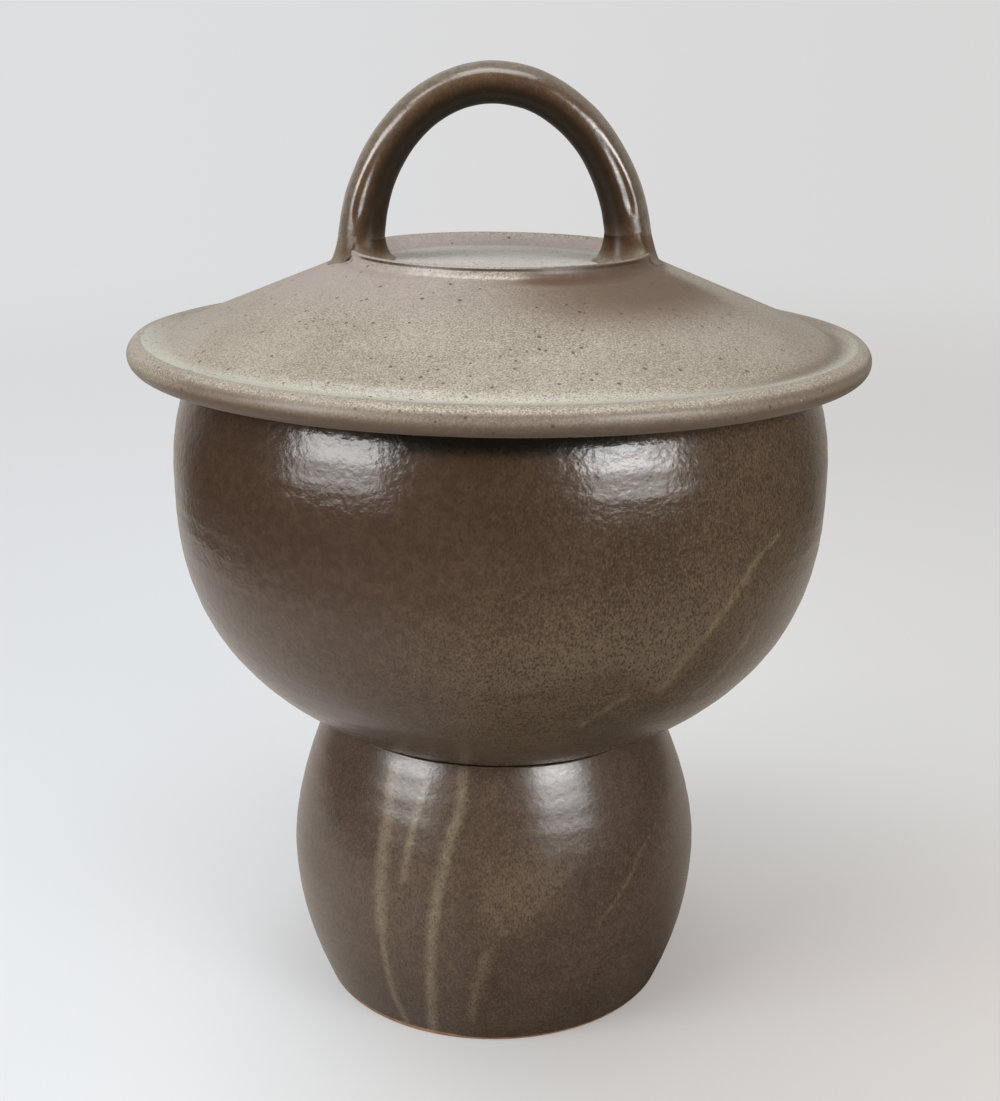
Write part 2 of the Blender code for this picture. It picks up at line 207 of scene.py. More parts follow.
# Glaze: pale specks, bare clay, and how far a run fades beyond its ends
PALE_SPECK_SPACING = 0.011
PALE_SPECK_RADIUS = 0.00045
PALE_SPECK_SHARE = 0.2
CLAY_DARK = (0.23, 0.115, 0.055)
CLAY_LIGHT = (0.33, 0.18, 0.095)
GLASS_IOR = 1.5
RUN_FADE = 0.006

# Runs of pale glaze on the foot: rows of (azimuth, height), with their width and strength
FOOT_RUNS = (
    (((-33.1, 0.1109), (-32.8, 0.1046), (-31.8, 0.0944), (-31.75, 0.08), (-31.6, 0.0651), (-31.1, 0.049)),
     0.0036, 0.74),
    (((-31.0, 0.046), (-30.8, 0.0356), (-30.4, 0.0181), (-28.7, 0.0038)), 0.0021, 0.70),
    (((-20.9, 0.1066), (-22.5, 0.0985), (-23.7, 0.0899), (-24.1, 0.0824), (-24.6, 0.0742)), 0.0020, 0.80),
    (((-9.65, 0.1135), (-9.6, 0.1022), (-10.9, 0.0953), (-12.6, 0.0876), (-13.6, 0.079), (-15.0, 0.0684),
      (-15.8, 0.0581), (-16.7, 0.0456), (-17.7, 0.0263), (-19.3, 0.0043)), 0.0027, 0.76),
    (((-2.2, 0.0451), (-3.3, 0.0385), (-5.1, 0.0289), (-6.3, 0.0136)), 0.0030, 0.44),
    (((52.8, 0.0826), (44.7, 0.0766), (38.9, 0.0672), (33.1, 0.0595), (29.3, 0.0547)), 0.0018, 0.42),
)

# The left and right edges of the foot's grainy patch
FOOT_PATCH_LEFT = (
    (-6.4, 0.1049), (-5.8, 0.080), (-5.1, 0.0673), (-4.5, 0.0605), (-2.2, 0.0530), (-2.2, 0.0451),
    (-3.3, 0.0385), (-5.1, 0.0289), (-6.3, 0.0136))
FOOT_PATCH_RIGHT = (
    (34.1, 0.1034), (31.6, 0.0905), (28.7, 0.083), (21.1, 0.0744), (13.3, 0.0643), (9.3, 0.0575),
    (4.8, 0.0545), (2.2, 0.0508), (0.4, 0.0432), (-1.7, 0.0341), (-4.0, 0.0243), (-5.8, 0.0113))

# Runs on the bowl, with heights over the table
BOWL_RUNS = (
    (((49.4, 0.2122), (44.5, 0.2081), (43.4, 0.2046), (40.1, 0.1969), (37.7, 0.1902), (35.0, 0.1830),
      (33.6, 0.1805), (31.2, 0.1735), (30.2, 0.1701), (29.0, 0.1643)), 0.0034, 0.56),
    (((46.9, 0.1791), (45.8, 0.1727), (43.1, 0.1671), (41.9, 0.1628), (40.5, 0.1592), (38.3, 0.1571)),
     0.0024, 0.50),
    (((22.1, 0.1623), (20.3, 0.1592), (18.6, 0.1562), (16.8, 0.1535), (15.4, 0.1502)), 0.0022, 0.50),
)

# The lower edge of the bowl's grainy patch: azimuth and height over the table
BOWL_PATCH_EDGE = (
    (-8.0, 0.166), (9.8, 0.1693), (12.4, 0.1722), (14.2, 0.1747), (17.4, 0.1753), (19.6, 0.1754),
    (25.5, 0.1640), (28.5, 0.1610))


def smooth(values, low, high):
    """0 below low, 1 above high, and an even S between them. low may be the larger one."""
    share = np.clip((values - low) / (high - low), 0, 1)
    return share * share * (3 - 2 * share)


def bell(values, middle, width):
    """1 in the middle, and falling away alike on both sides of it."""
    return np.exp(-(((values - middle) / width) ** 2))


def mix(start, end, share):
    return start + (end - start) * share


def put(points, placing):
    """The points turned and moved by a matrix."""
    return points @ np.array(placing.to_3x3()).T + np.array(placing.translation)


def lumps(points, size, seed):
    """Soft noise from -1 to 1 at each point, with features of about that size."""
    offset = Vector((seed * 7.31, seed * 3.17, seed * 5.77))
    values = [noise.noise(Vector(point) / size + offset) for point in points.reshape(-1, 3)]
    return np.array(values).reshape(points.shape[:-1])


def bezier(start, start_pull, end_pull, end, count=24):
    share = np.linspace(0, 1, count)[:, None]
    rest = 1 - share
    corners = [np.array(corner, float) for corner in (start, start_pull, end_pull, end)]
    weights = (rest**3, 3 * rest**2 * share, 3 * rest * share**2, share**3)
    return sum(weight * corner for weight, corner in zip(weights, corners))


def arc(centre, radius, start_degrees, end_degrees, count=40):
    angles = np.radians(np.linspace(start_degrees, end_degrees, count))
    return np.stack([centre[0] + radius * np.cos(angles), centre[1] + radius * np.sin(angles)], axis=1)


def evenly(stretch, spacing):
    """The stretch with points at about that spacing along it, and its two ends kept."""
    stretch = np.array(stretch, float)
    steps = np.hypot(*np.diff(stretch, axis=0).T)
    along = np.concatenate([[0], np.cumsum(steps)])
    count = max(2, int(round(along[-1] / spacing)) + 1)
    wanted = np.linspace(0, along[-1], count)
    return np.stack([np.interp(wanted, along, stretch[:, axis]) for axis in (0, 1)], axis=1)


def joined(*stretches):
    """Stretches that follow on from each other, without the doubled points between them."""
    rows = [stretches[0]]
    for stretch in stretches[1:]:
        rows.append(stretch[1:])
    return np.concatenate(rows)


def added(name, data):
    """A new object in the scene."""
    made = bpy.data.objects.new(name, data)
    bpy.context.scene.collection.objects.link(made)
    return made


def finished(name, mesh, material, body, nodes):
    """A piece that stands for CAD nodes and moves with their body."""
    mesh.shade_smooth()
    mesh.materials.append(material)
    piece = added(name, mesh)
    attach(piece, body)
    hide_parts(*nodes)


def paint(mesh, name, values):
    layer = mesh.attributes.new(name, "FLOAT", "POINT")
    layer.data.foreach_set("value", np.asarray(values, np.float32))


def turned_mesh(name, outline, placing, relief, paints, settle=None, segments=TURN_SEGMENTS):
    """A fine body of revolution. The outline runs anticlockwise in the (radius, height) plane.

    It is a closed loop, or runs from the axis to the axis. relief gives how far each point stands proud of
    it, paints gives values for the material, and settle may change the placed points.
    """
    outline = np.array(outline, float)
    from_axis = outline[0][0] == 0
    before = np.roll(outline, 1, axis=0)
    after = np.roll(outline, -1, axis=0)
    if from_axis:
        before[0] = outline[0]
        after[-1] = outline[-1]
    along = after - before
    along /= np.hypot(along[:, 0], along[:, 1])[:, None]
    kept = slice(1, -1) if from_axis else slice(None)
    rows = outline[kept]
    out = along[kept, 1:]
    up = -along[kept, :1]
    azimuths = np.arange(segments) * 360 / segments
    turn = np.radians(azimuths)
    columns = (rows[:, :1], rows[:, 1:], out, np.arange(len(rows))[:, None])
    radius, height, facing, row_number = [np.repeat(column, segments, axis=1) for column in columns]
    azimuth = np.repeat([(azimuths + 180) % 360 - 180], len(rows), axis=0)

    def around(radius, height):
        return np.stack([radius * np.sin(turn), -radius * np.cos(turn), height], axis=2)

    proud = relief(radius, height, azimuth, facing, around(radius, height))
    radius = radius + out * proud
    height = height + up * proud
    points = around(radius, height).reshape(-1, 3)
    poles = [(0, 0, outline[end][1]) for end in (0, -1)] if from_axis else []
    placed = put(np.array([*points, *poles]), placing)
    if settle:
        placed = settle(placed)
    near = np.arange(segments)
    far = (near + 1) % segments
    faces = []
    for row in range(len(rows) - int(from_axis)):
        low = row * segments
        high = ((row + 1) % len(rows)) * segments
        faces.extend(np.stack([low + near, low + far, high + far, high + near], axis=1).tolist())
    if from_axis:
        pole = len(points)
        low = pole - segments
        faces.extend([[pole, int(b), int(a)] for a, b in zip(near, far)])
        faces.extend([[int(low + a), int(low + b), pole + 1] for a, b in zip(near, far)])
    mesh = bpy.data.meshes.new(name)
    mesh.from_pydata(placed.tolist(), [], faces)
    mesh.update()
    for paint_name, values in paints(radius, height, azimuth, facing, row_number).items():
        flat = np.asarray(values, float).reshape(-1)
        paint(mesh, paint_name, np.concatenate([flat, flat[[0, -1]]]) if from_axis else flat)
    return mesh


def route_azimuth(route, height):
    """The azimuth of a route at each height, held at its ends."""
    rows = sorted((h, a) for a, h in route)
    return np.interp(height, [row[0] for row in rows], [row[1] for row in rows])


def run_strength(run, azimuth, height, radius):
    route, width, strength = run
    sideways = np.radians(azimuth - route_azimuth(route, height)) * radius
    low = min(level for _, level in route)
    high = max(level for _, level in route)
    ends = smooth(height, low - RUN_FADE, low) * smooth(height, high + RUN_FADE, high)
    return strength * ends * bell(sideways, 0, width)


def strongest_run(runs, azimuth, height, radius):
    return np.maximum.reduce([run_strength(run, azimuth, height, radius) for run in runs])


# Node helpers


def node(tree, kind, inputs=None, **settings):
    made = tree.nodes.new(kind)
    for name, value in settings.items():
        setattr(made, name, value)
    for name, value in (inputs or {}).items():
        if isinstance(value, bpy.types.NodeSocket):
            tree.links.new(value, made.inputs[name])
        else:
            made.inputs[name].default_value = value
    return made


def maths(tree, operation, first, second=0.0):
    made = tree.nodes.new("ShaderNodeMath")
    made.operation = operation
    for socket, value in zip(made.inputs, (first, second)):
        if isinstance(value, bpy.types.NodeSocket):
            tree.links.new(value, socket)
        else:
            socket.default_value = value
    return made.outputs[0]


def times(tree, first, second):
    return maths(tree, "MULTIPLY", first, second)


def plus(tree, first, second):
    return maths(tree, "ADD", first, second)


def eased(tree, value, low, high, start=0.0, end=1.0):
    made = node(tree, "ShaderNodeMapRange", interpolation_type="SMOOTHSTEP", inputs={
        "Value": value, "From Min": low, "From Max": high, "To Min": start, "To Max": end})
    return made.outputs["Result"]


def blended(tree, share, first, second, blend_type="MIX"):
    made = tree.nodes.new("ShaderNodeMix")
    made.data_type = "RGBA"
    made.blend_type = blend_type
    for socket, value in ((made.inputs[0], share), (made.inputs[6], first), (made.inputs[7], second)):
        if isinstance(value, bpy.types.NodeSocket):
            tree.links.new(value, socket)
        elif isinstance(value, tuple):
            socket.default_value = (*value, 1.0)
        else:
            socket.default_value = value
    return made.outputs[2]


def grain(tree, places, size, detail=2.0, roughness=0.5, stretch=None):
    """Noise with features of about that size."""
    if stretch is not None:
        places = node(tree, "ShaderNodeMapping", inputs={"Vector": places, "Scale": stretch}).outputs[0]
    made = node(tree, "ShaderNodeTexNoise", noise_dimensions="3D", inputs={
        "Vector": places, "Scale": 1 / size, "Detail": detail, "Roughness": roughness})
    return made.outputs[0]


def specks(tree, places, spacing, radius, share):
    """Round specks, one in some of the cells of that spacing."""
    cells = node(tree, "ShaderNodeTexVoronoi", voronoi_dimensions="3D", feature="F1", inputs={
        "Vector": places, "Scale": 1 / spacing, "Randomness": 1.0})
    chance = node(tree, "ShaderNodeSeparateColor", inputs={"Color": cells.outputs["Color"]})
    reach = maths(tree, "MULTIPLY", chance.outputs[1], radius / spacing)
    inside = maths(tree, "SUBTRACT", reach, cells.outputs["Distance"])
    spot = eased(tree, inside, 0.0, 0.25 * radius / spacing)
    present = maths(tree, "LESS_THAN", chance.outputs[0], share)
    return maths(tree, "MULTIPLY", spot, present)


def painted(tree, name):
    return node(tree, "ShaderNodeAttribute", attribute_name=name, attribute_type="GEOMETRY").outputs["Fac"]


def mirrored_and_shown(tree):
    """1 for rays that a glossy or clear surface passes on, and 1 for these and the camera's own."""
    rays = node(tree, "ShaderNodeLightPath").outputs
    mirrored = maths(tree, "MAXIMUM", rays["Is Glossy Ray"], rays["Is Transmission Ray"])
    return mirrored, maths(tree, "MAXIMUM", rays["Is Camera Ray"], mirrored)


def tinted(tree, mirrored, colour):
    """The colour, warmer for mirrored rays."""
    return blended(tree, mirrored, colour, MIRROR_TINT, "MULTIPLY")


def left_to_right(tree, sideways, left, right):
    return eased(tree, sideways, -0.3, 0.3, left, right)


def glaze(name, look):
    """A speckled stoneware glaze over brown clay.

    The values painted on the mesh are shares of the look's colours of the same names, and of bare clay.
    """
    material = bpy.data.materials.new(name)
    material.use_nodes = True
    tree = material.node_tree
    shader = tree.nodes["Principled BSDF"]
    places = node(tree, "ShaderNodeTexCoord").outputs["Object"]
    clouds = grain(tree, places, 0.045, 4.0, 0.6)
    mottle = grain(tree, places, look["mottle_size"], 3.0, 0.6)
    fine = grain(tree, places, look["grain_size"], 2.0, 0.6, (1, 1, look["grain_stretch"]))
    ragged = grain(tree, places, 0.0018, 3.0, 0.65)
    veil = painted(tree, "veil")
    warm = painted(tree, "warm")

    # Some painted values stand for light and shade: the pale one also holds painted glints and sheens on the
    # lid, handle and roots, the veil one a painted sheen on the lid, and the thin and warm ones painted
    # shadow and shade.
    colour = blended(tree, eased(tree, clouds, 0.35, 0.65), look["dark"], look["light"])
    for share, shade in ((painted(tree, "olive"), "olive"), (warm, "warm"), (veil, "veil")):
        colour = blended(tree, share, colour, look[shade])
    pale_and_glint_edge = plus(tree, painted(tree, "pale"), times(tree, ragged, 0.7))
    colour = blended(tree, eased(tree, pale_and_glint_edge, 0.42, 1.35), colour, look["pale"])
    lighter = eased(tree, mottle, 0.38, 0.68, 1 - look["mottle"], 1 + look["mottle"])
    grey = node(tree, "ShaderNodeCombineColor", inputs={"Red": lighter, "Green": lighter, "Blue": lighter})
    colour = blended(tree, 1.0, colour, grey.outputs[0], "MULTIPLY")

    smoother = plus(tree, times(tree, veil, 0.7), times(tree, warm, 0.5))
    grainy = eased(tree, smoother, 0.0, 1.0, look["speckle"], 0.1 * look["speckle"])
    more = times(tree, painted(tree, "olive"), look["olive_grain"])
    grainy = times(tree, grainy, plus(tree, more, 1.0))
    tan_share = times(tree, grainy, eased(tree, warm, 0.1, 0.8, 1.0, 0.15))
    tan_share = times(tree, eased(tree, fine, 0.50, 0.68), tan_share)
    pit_share = times(tree, eased(tree, fine, 0.50, 0.34), grainy)
    dark_specks = specks(tree, places, look["speck_spacing"], look["speck_radius"], look["speck_share"])
    pale_specks = specks(tree, places, PALE_SPECK_SPACING, PALE_SPECK_RADIUS, PALE_SPECK_SHARE)
    thin_glaze_and_shade_edge = plus(tree, painted(tree, "thin"), times(tree, ragged, 0.5))
    layers = (
        (tan_share, "tan"), (pit_share, "pit"), (times(tree, dark_specks, look["speck_strength"]), "speck"),
        (times(tree, pale_specks, 0.6), "pale"), (eased(tree, thin_glaze_and_shade_edge, 0.55, 1.1), "thin"))
    for share, shade in layers:
        colour = blended(tree, share, colour, look[shade])
    bare_edge = plus(tree, painted(tree, "bare"), times(tree, ragged, 0.3))
    bare = eased(tree, bare_edge, 0.5, 0.8)
    clay = blended(tree, eased(tree, mottle, 0.35, 0.65), CLAY_DARK, CLAY_LIGHT)
    tree.links.new(blended(tree, bare, colour, clay), shader.inputs["Base Color"])

    rough = eased(tree, mottle, 0.3, 0.7, look["roughness"] - 0.05, look["roughness"] + 0.07)
    tree.links.new(plus(tree, rough, times(tree, bare, 0.4)), shader.inputs["Roughness"])

    peel = grain(tree, places, look["peel_size"], 2.0, 0.5, (1, 1, 1.25))
    heights = plus(tree, times(tree, peel, look["peel"]), times(tree, fine, look["tooth"]))
    heights = maths(tree, "SUBTRACT", heights, times(tree, dark_specks, look["tooth"]))
    bump = node(tree, "ShaderNodeBump", inputs={"Strength": 1.0, "Distance": 1.0, "Height": heights})
    tree.links.new(bump.outputs[0], shader.inputs["Normal"])
    tree.links.new(bump.outputs[0], shader.inputs["Coat Normal"])
    shader.inputs["Specular IOR Level"].default_value = look["shine"]
    shader.inputs["Coat Weight"].default_value = look["coat"]
    if look["dry"]:
        gloss = eased(tree, warm, 0.2, 0.9, look["coat"], look["coat"] * (1 - look["dry"]))
        tree.links.new(gloss, shader.inputs["Coat Weight"])
    shader.inputs["Coat IOR"].default_value = look["coat_ior"]
    shader.inputs["Coat Roughness"].default_value = look["coat_roughness"]
    shader.inputs["IOR"].default_value = GLASS_IOR
    return material


# The bowl's thin colour is near black, the colour of the painted shadow under the lid. The foot's is a pale
# lip of thin glaze.
BROWN = {
    "dark": (0.046, 0.027, 0.014), "light": (0.078, 0.049, 0.029), "olive": (0.112, 0.082, 0.052),
    "warm": (0.048, 0.027, 0.016), "veil": (0.072, 0.048, 0.036), "pale": (0.190, 0.148, 0.085),
    "thin": (0.010, 0.008, 0.005), "tan": (0.125, 0.090, 0.055), "pit": (0.022, 0.013, 0.008),
    "speck": (0.018, 0.010, 0.007), "mottle_size": 0.0034, "mottle": 0.12, "speckle": 0.50,
    "grain_size": 0.0007, "grain_stretch": 0.6, "olive_grain": 0.6,
    "speck_spacing": 0.005, "speck_radius": 0.0006, "speck_share": 0.35, "speck_strength": 0.6,
    "roughness": 0.38, "peel_size": 0.0029, "peel": 0.00018, "tooth": 0.00001, "shine": 0.05, "coat": 0.86,
    "coat_roughness": 0.20, "coat_ior": 1.55, "dry": 0.0,
}
FOOT_BROWN = dict(
    BROWN, pale=(0.178, 0.140, 0.094), thin=(0.150, 0.120, 0.080), speckle=0.48, olive_grain=0.3,
    peel=0.00009, roughness=0.44, coat=0.85, coat_roughness=0.25, coat_ior=1.68)
# On the lid the thin colour paints a shade line and the step's shade, the warm colour browner glaze and
# painted shade on the step, at the cone's foot and on the right, and the veil colour a purple-grey glaze
# that is partly a painted sheen.
LID_TAN = dict(
    BROWN, dark=(0.222, 0.194, 0.152), light=(0.264, 0.238, 0.194), olive=(0.424, 0.436, 0.378),
    warm=(0.090, 0.056, 0.036), veil=(0.262, 0.222, 0.203), pale=(0.475, 0.472, 0.442),
    thin=(0.040, 0.026, 0.016), tan=(0.385, 0.362, 0.310), pit=(0.080, 0.056, 0.036),
    speck=(0.055, 0.036, 0.022), mottle_size=0.0022, mottle=0.08, speckle=0.66, grain_size=0.00065,
    grain_stretch=1.0, speck_spacing=0.0036, speck_radius=0.0009, speck_share=0.75, speck_strength=0.85,
    olive_grain=0.0, peel=0.00005, roughness=0.50, shine=0.36, coat=0.20, coat_roughness=0.26, coat_ior=1.5)
# The handle's warm colour is near black: painted shade for the underside of the bar and of the roots.
HANDLE_BROWN = dict(
    BROWN, dark=(0.052, 0.028, 0.013), light=(0.070, 0.040, 0.020), olive=(0.150, 0.130, 0.106),
    warm=(0.013, 0.008, 0.004), pale=(0.280, 0.258, 0.225), speckle=0.22, peel_size=0.0020, peel=0.00007,
    roughness=0.34, shine=0.0, coat=1.0, coat_roughness=0.25, coat_ior=1.66, dry=0.7)
ROOT_GREEN = dict(
    HANDLE_BROWN, olive=(0.160, 0.142, 0.110), pale=(0.33, 0.32, 0.27), coat=0.40, coat_roughness=0.32,
    coat_ior=1.5)
BARE_CLAY = dict(BROWN, roughness=0.80, shine=0.3, coat=0.0, tooth=0.00004)


# Outlines shared by the pieces


def foot_radius(height):
    below = np.clip(1 - height / FOOT_BELLY_HEIGHT, 0, None) ** FOOT_LOWER_POWER
    above = np.clip((height - FOOT_BELLY_HEIGHT) / (FOOT_NECK_HEIGHT - FOOT_BELLY_HEIGHT), 0, None)
    return FOOT_BELLY_RADIUS - FOOT_BASE_DRAW_IN * below - FOOT_NECK_DRAW_IN * above**FOOT_UPPER_POWER


def bowl_rise_at(radius):
    """Height over the bowl's bottom of its underside, at a distance from its axis."""
    inward = np.clip(1 - (radius / BOWL_BELLY_RADIUS) ** BOWL_RADIUS_POWER, 0, 1)
    return BOWL_BELLY_RISE * (1 - inward ** (1 / BOWL_HEIGHT_POWER))


def bowl_curve(radius, depth):
    """From the middle of the bottom out and up to the belly."""
    angles = np.linspace(math.pi / 2, 0, 500)
    across = radius * np.cos(angles) ** (2 / BOWL_RADIUS_POWER)
    down = depth * np.sin(angles) ** (2 / BOWL_HEIGHT_POWER)
    across[0] = 0
    return np.stack([across, BOWL_BELLY_RISE - down], axis=1)


def shoulder_curve(inset, top):
    """From the belly up to a height over it."""
    rise = np.linspace(0, top, 60)
    radius = BOWL_BELLY_RADIUS - BOWL_SHOULDER_DRAW_IN * (rise / BOWL_SHOULDER_RISE) ** 2 - inset
    return np.stack([radius, BOWL_BELLY_RISE + rise], axis=1)


def lid_heights():
    shoulder = LID_CONE_FOOT_HEIGHT + LID_CONE_RISE
    ring = shoulder + LID_RING_RISE
    return shoulder, ring, ring - LID_DISH_DEPTH


def lid_top():
    """The lid's upper side, from the crest of its rolled rim in to the middle."""
    shoulder_height, ring_height, dish_height = lid_heights()
    ring_radius = LID_DISH_RADIUS + LID_DISH_WALL_WIDTH
    shoulder = (ring_radius + LID_STEP_WIDTH, shoulder_height)
    cone_foot = (LID_RADIUS - LID_CONE_INSET, LID_CONE_FOOT_HEIGHT)
    slope = LID_CONE_RISE / (cone_foot[0] - shoulder[0])
    groove = (LID_RADIUS - LID_GROOVE_INSET, LID_GROOVE_HEIGHT)
    crest = (LID_RADIUS - LID_ROLL_RADIUS, LID_ROLL_HEIGHT + LID_ROLL_RADIUS)
    pull = (LID_CONE_INSET - LID_GROOVE_INSET) / 2
    to_groove = bezier(crest, (crest[0] - pull * 0.7, crest[1]), (groove[0] + pull * 0.6, groove[1]), groove)
    before_cone = (cone_foot[0] + pull, cone_foot[1] - pull * slope)
    to_cone = bezier(groove, (groove[0] - pull * 0.6, groove[1]), before_cone, cone_foot)
    cone = np.array([cone_foot, shoulder])
    ring_outer = (ring_radius, ring_height - LID_RING_EDGE)
    ring_inner = (ring_radius - 2 * LID_RING_EDGE, ring_height - LID_RING_EDGE * 0.6)
    step_pull = (ring_radius + LID_STEP_WIDTH * 0.12, shoulder_height + LID_STEP_WIDTH * slope * 0.6)
    step = bezier(shoulder, step_pull, step_pull, ring_outer)
    lip = arc((ring_radius - LID_RING_EDGE, ring_height - LID_RING_EDGE), LID_RING_EDGE, 0, 115)
    dish_edge = (LID_DISH_RADIUS - 0.003, dish_height)
    wall = bezier(lip[-1], ring_inner, (LID_DISH_RADIUS + 0.002, dish_height), dish_edge)
    floor = np.array([dish_edge, (0, dish_height + 0.0004)])
    return joined(
        evenly(to_groove, 0.0009), evenly(to_cone, 0.0011), evenly(cone, OUTSIDE_SPACING),
        evenly(step, 0.0005), evenly(lip, CORNER_SPACING), evenly(wall, 0.0007),
        evenly(floor, OUTSIDE_SPACING))


def lid_top_height(radius):
    top = lid_top()[::-1]
    return np.interp(radius, top[:, 0], top[:, 1])


# Pieces


def ridges(height, azimuth, spacing):
    """The spiral that a potter's fingers leave: a wave over height that climbs one turn a ridge."""
    return np.sin(math.tau * (height / spacing + azimuth / 360))


def ridge_strength(plain, inner, seed):
    """Uneven, and stronger inside."""
    return np.where(inner, INSIDE_RIDGES, 1.0) * (0.5 + 0.5 * lumps(plain * FLATTENED, 0.05, seed))


def all_bare(radius, height, azimuth, facing, row_number):
    return {"bare": np.ones_like(radius)}


def make_bowl(placing, material):
    outside = joined(
        evenly(bowl_curve(BOWL_BELLY_RADIUS, BOWL_BELLY_RISE), OUTSIDE_SPACING),
        evenly(shoulder_curve(0, BOWL_SHOULDER_RISE - BOWL_RIM_ROUND), OUTSIDE_SPACING))
    rim_radius = BOWL_BELLY_RADIUS - BOWL_SHOULDER_DRAW_IN
    rim_height = BOWL_BELLY_RISE + BOWL_SHOULDER_RISE
    mouth = (rim_radius - BOWL_WALL, rim_height - BOWL_RIM_ROUND)
    middle = (rim_radius - BOWL_WALL / 2, rim_height)
    rim = joined(
        bezier(outside[-1], (outside[-1][0], rim_height), (outside[-1][0], rim_height), middle),
        bezier(middle, (mouth[0], rim_height), (mouth[0], rim_height), mouth))
    inner_shoulder = shoulder_curve(BOWL_WALL, BOWL_SHOULDER_RISE - BOWL_RIM_ROUND)[::-1]
    inner_curve = bowl_curve(BOWL_BELLY_RADIUS - BOWL_WALL, BOWL_BELLY_RISE - BOWL_FLOOR)[::-1]
    outline = joined(outside, evenly(rim, 0.0007), evenly(inner_shoulder, INSIDE_SPACING),
                     evenly(inner_curve, INSIDE_SPACING))

    def relief(radius, height, azimuth, facing, plain):
        inner = facing < 0
        uneven = lumps(plain, 0.03, 1)
        share = ridge_strength(plain, inner, 2) + np.where(inner, 0, 0.3 * smooth(height, 0.128, 0.142))
        dents = np.where(inner, 0, lumps(plain * np.array([1, 1, 0.8]), 0.006, 12))
        wave = RIDGE_HEIGHT * share * ridges(height, azimuth, BOWL_RIDGE_SPACING)
        wave = wave * smooth(height, 0.01, 0.05)
        away = smooth(height, rim_height - 0.001, rim_height - 0.006)
        return (wave + 0.00012 * uneven + 0.00007 * dents) * away

    def paints(radius, height, azimuth, facing, row_number):
        level = height + placing.translation.z
        inner = row_number > len(outside)
        pale = strongest_run(BOWL_RUNS, azimuth, level, radius)
        from_run = np.radians(route_azimuth(BOWL_RUNS[0][0], level) - azimuth) * radius
        over_edge = level - np.interp(azimuth, *np.array(BOWL_PATCH_EDGE).T)
        patch = smooth(from_run, -0.002, 0.006) * smooth(azimuth, -32, 16) * smooth(over_edge, -0.003, 0.004)
        patch = patch * smooth(level, 0.220, 0.175)
        low = smooth(level, 0.20, 0.125) * bell(azimuth, -3, 52)
        beside = smooth(azimuth, -20, 60) * smooth(azimuth, 165, 100)
        olive = np.clip(0.58 * patch + 0.70 * low + 0.36 * beside, 0, 1)
        rim = smooth(height, rim_height - 0.0022, rim_height - 0.0008)
        # A painted shadow of the lid: a near black band under the rim at the front, where the lid's overhang
        # shades the bowl.
        painted_lid_shadow = smooth(height, rim_height - 0.0165, rim_height - 0.0085)
        painted_lid_shadow = painted_lid_shadow * smooth(np.abs(azimuth), 42, 12)
        left = smooth(np.sin(np.radians(azimuth)), 0.05, -0.45)
        before_back = smooth(azimuth, 178, 120)
        right_low = smooth(azimuth, 4, 20) * before_back * smooth(level, 0.215, 0.17) * (1 - patch)
        veil = 0.8 * left * smooth(level, 0.235, 0.18) + 0.25 * smooth(level, 0.17, 0.13) + 0.25 * right_low
        less_warm = 0.7 * smooth(azimuth, -30, 40) * before_back
        front_warm = 0.90 * smooth(level, 0.155, 0.225) * (1 - olive) * (1 - less_warm)
        return {
            "pale": np.where(inner, 0, pale), "olive": np.where(inner, 0.2, olive),
            "warm": np.where(inner, 0.3, front_warm), "veil": np.where(inner, 0, np.clip(veil, 0, 1)),
            "thin": np.where(inner, 0, 0.8 * painted_lid_shadow), "bare": rim,
        }

    mesh = turned_mesh("bowl_skin", outline, placing, relief, paints)
    finished("bowl_skin", mesh, material, "jar_body", ["bowl"])


def bowl_underside(placing):
    """A function that gives the height of the bowl's underside over any point of the table."""
    into = np.array(placing.inverted())

    def height_over(x, y):
        z = np.full_like(x, FOOT_NECK_HEIGHT)
        for _ in range(4):
            local = into[:3, :3] @ np.stack([x, y, z]) + into[:3, 3][:, None]
            z = z + bowl_rise_at(np.hypot(local[0], local[1])) - local[2]
        return z

    return height_over


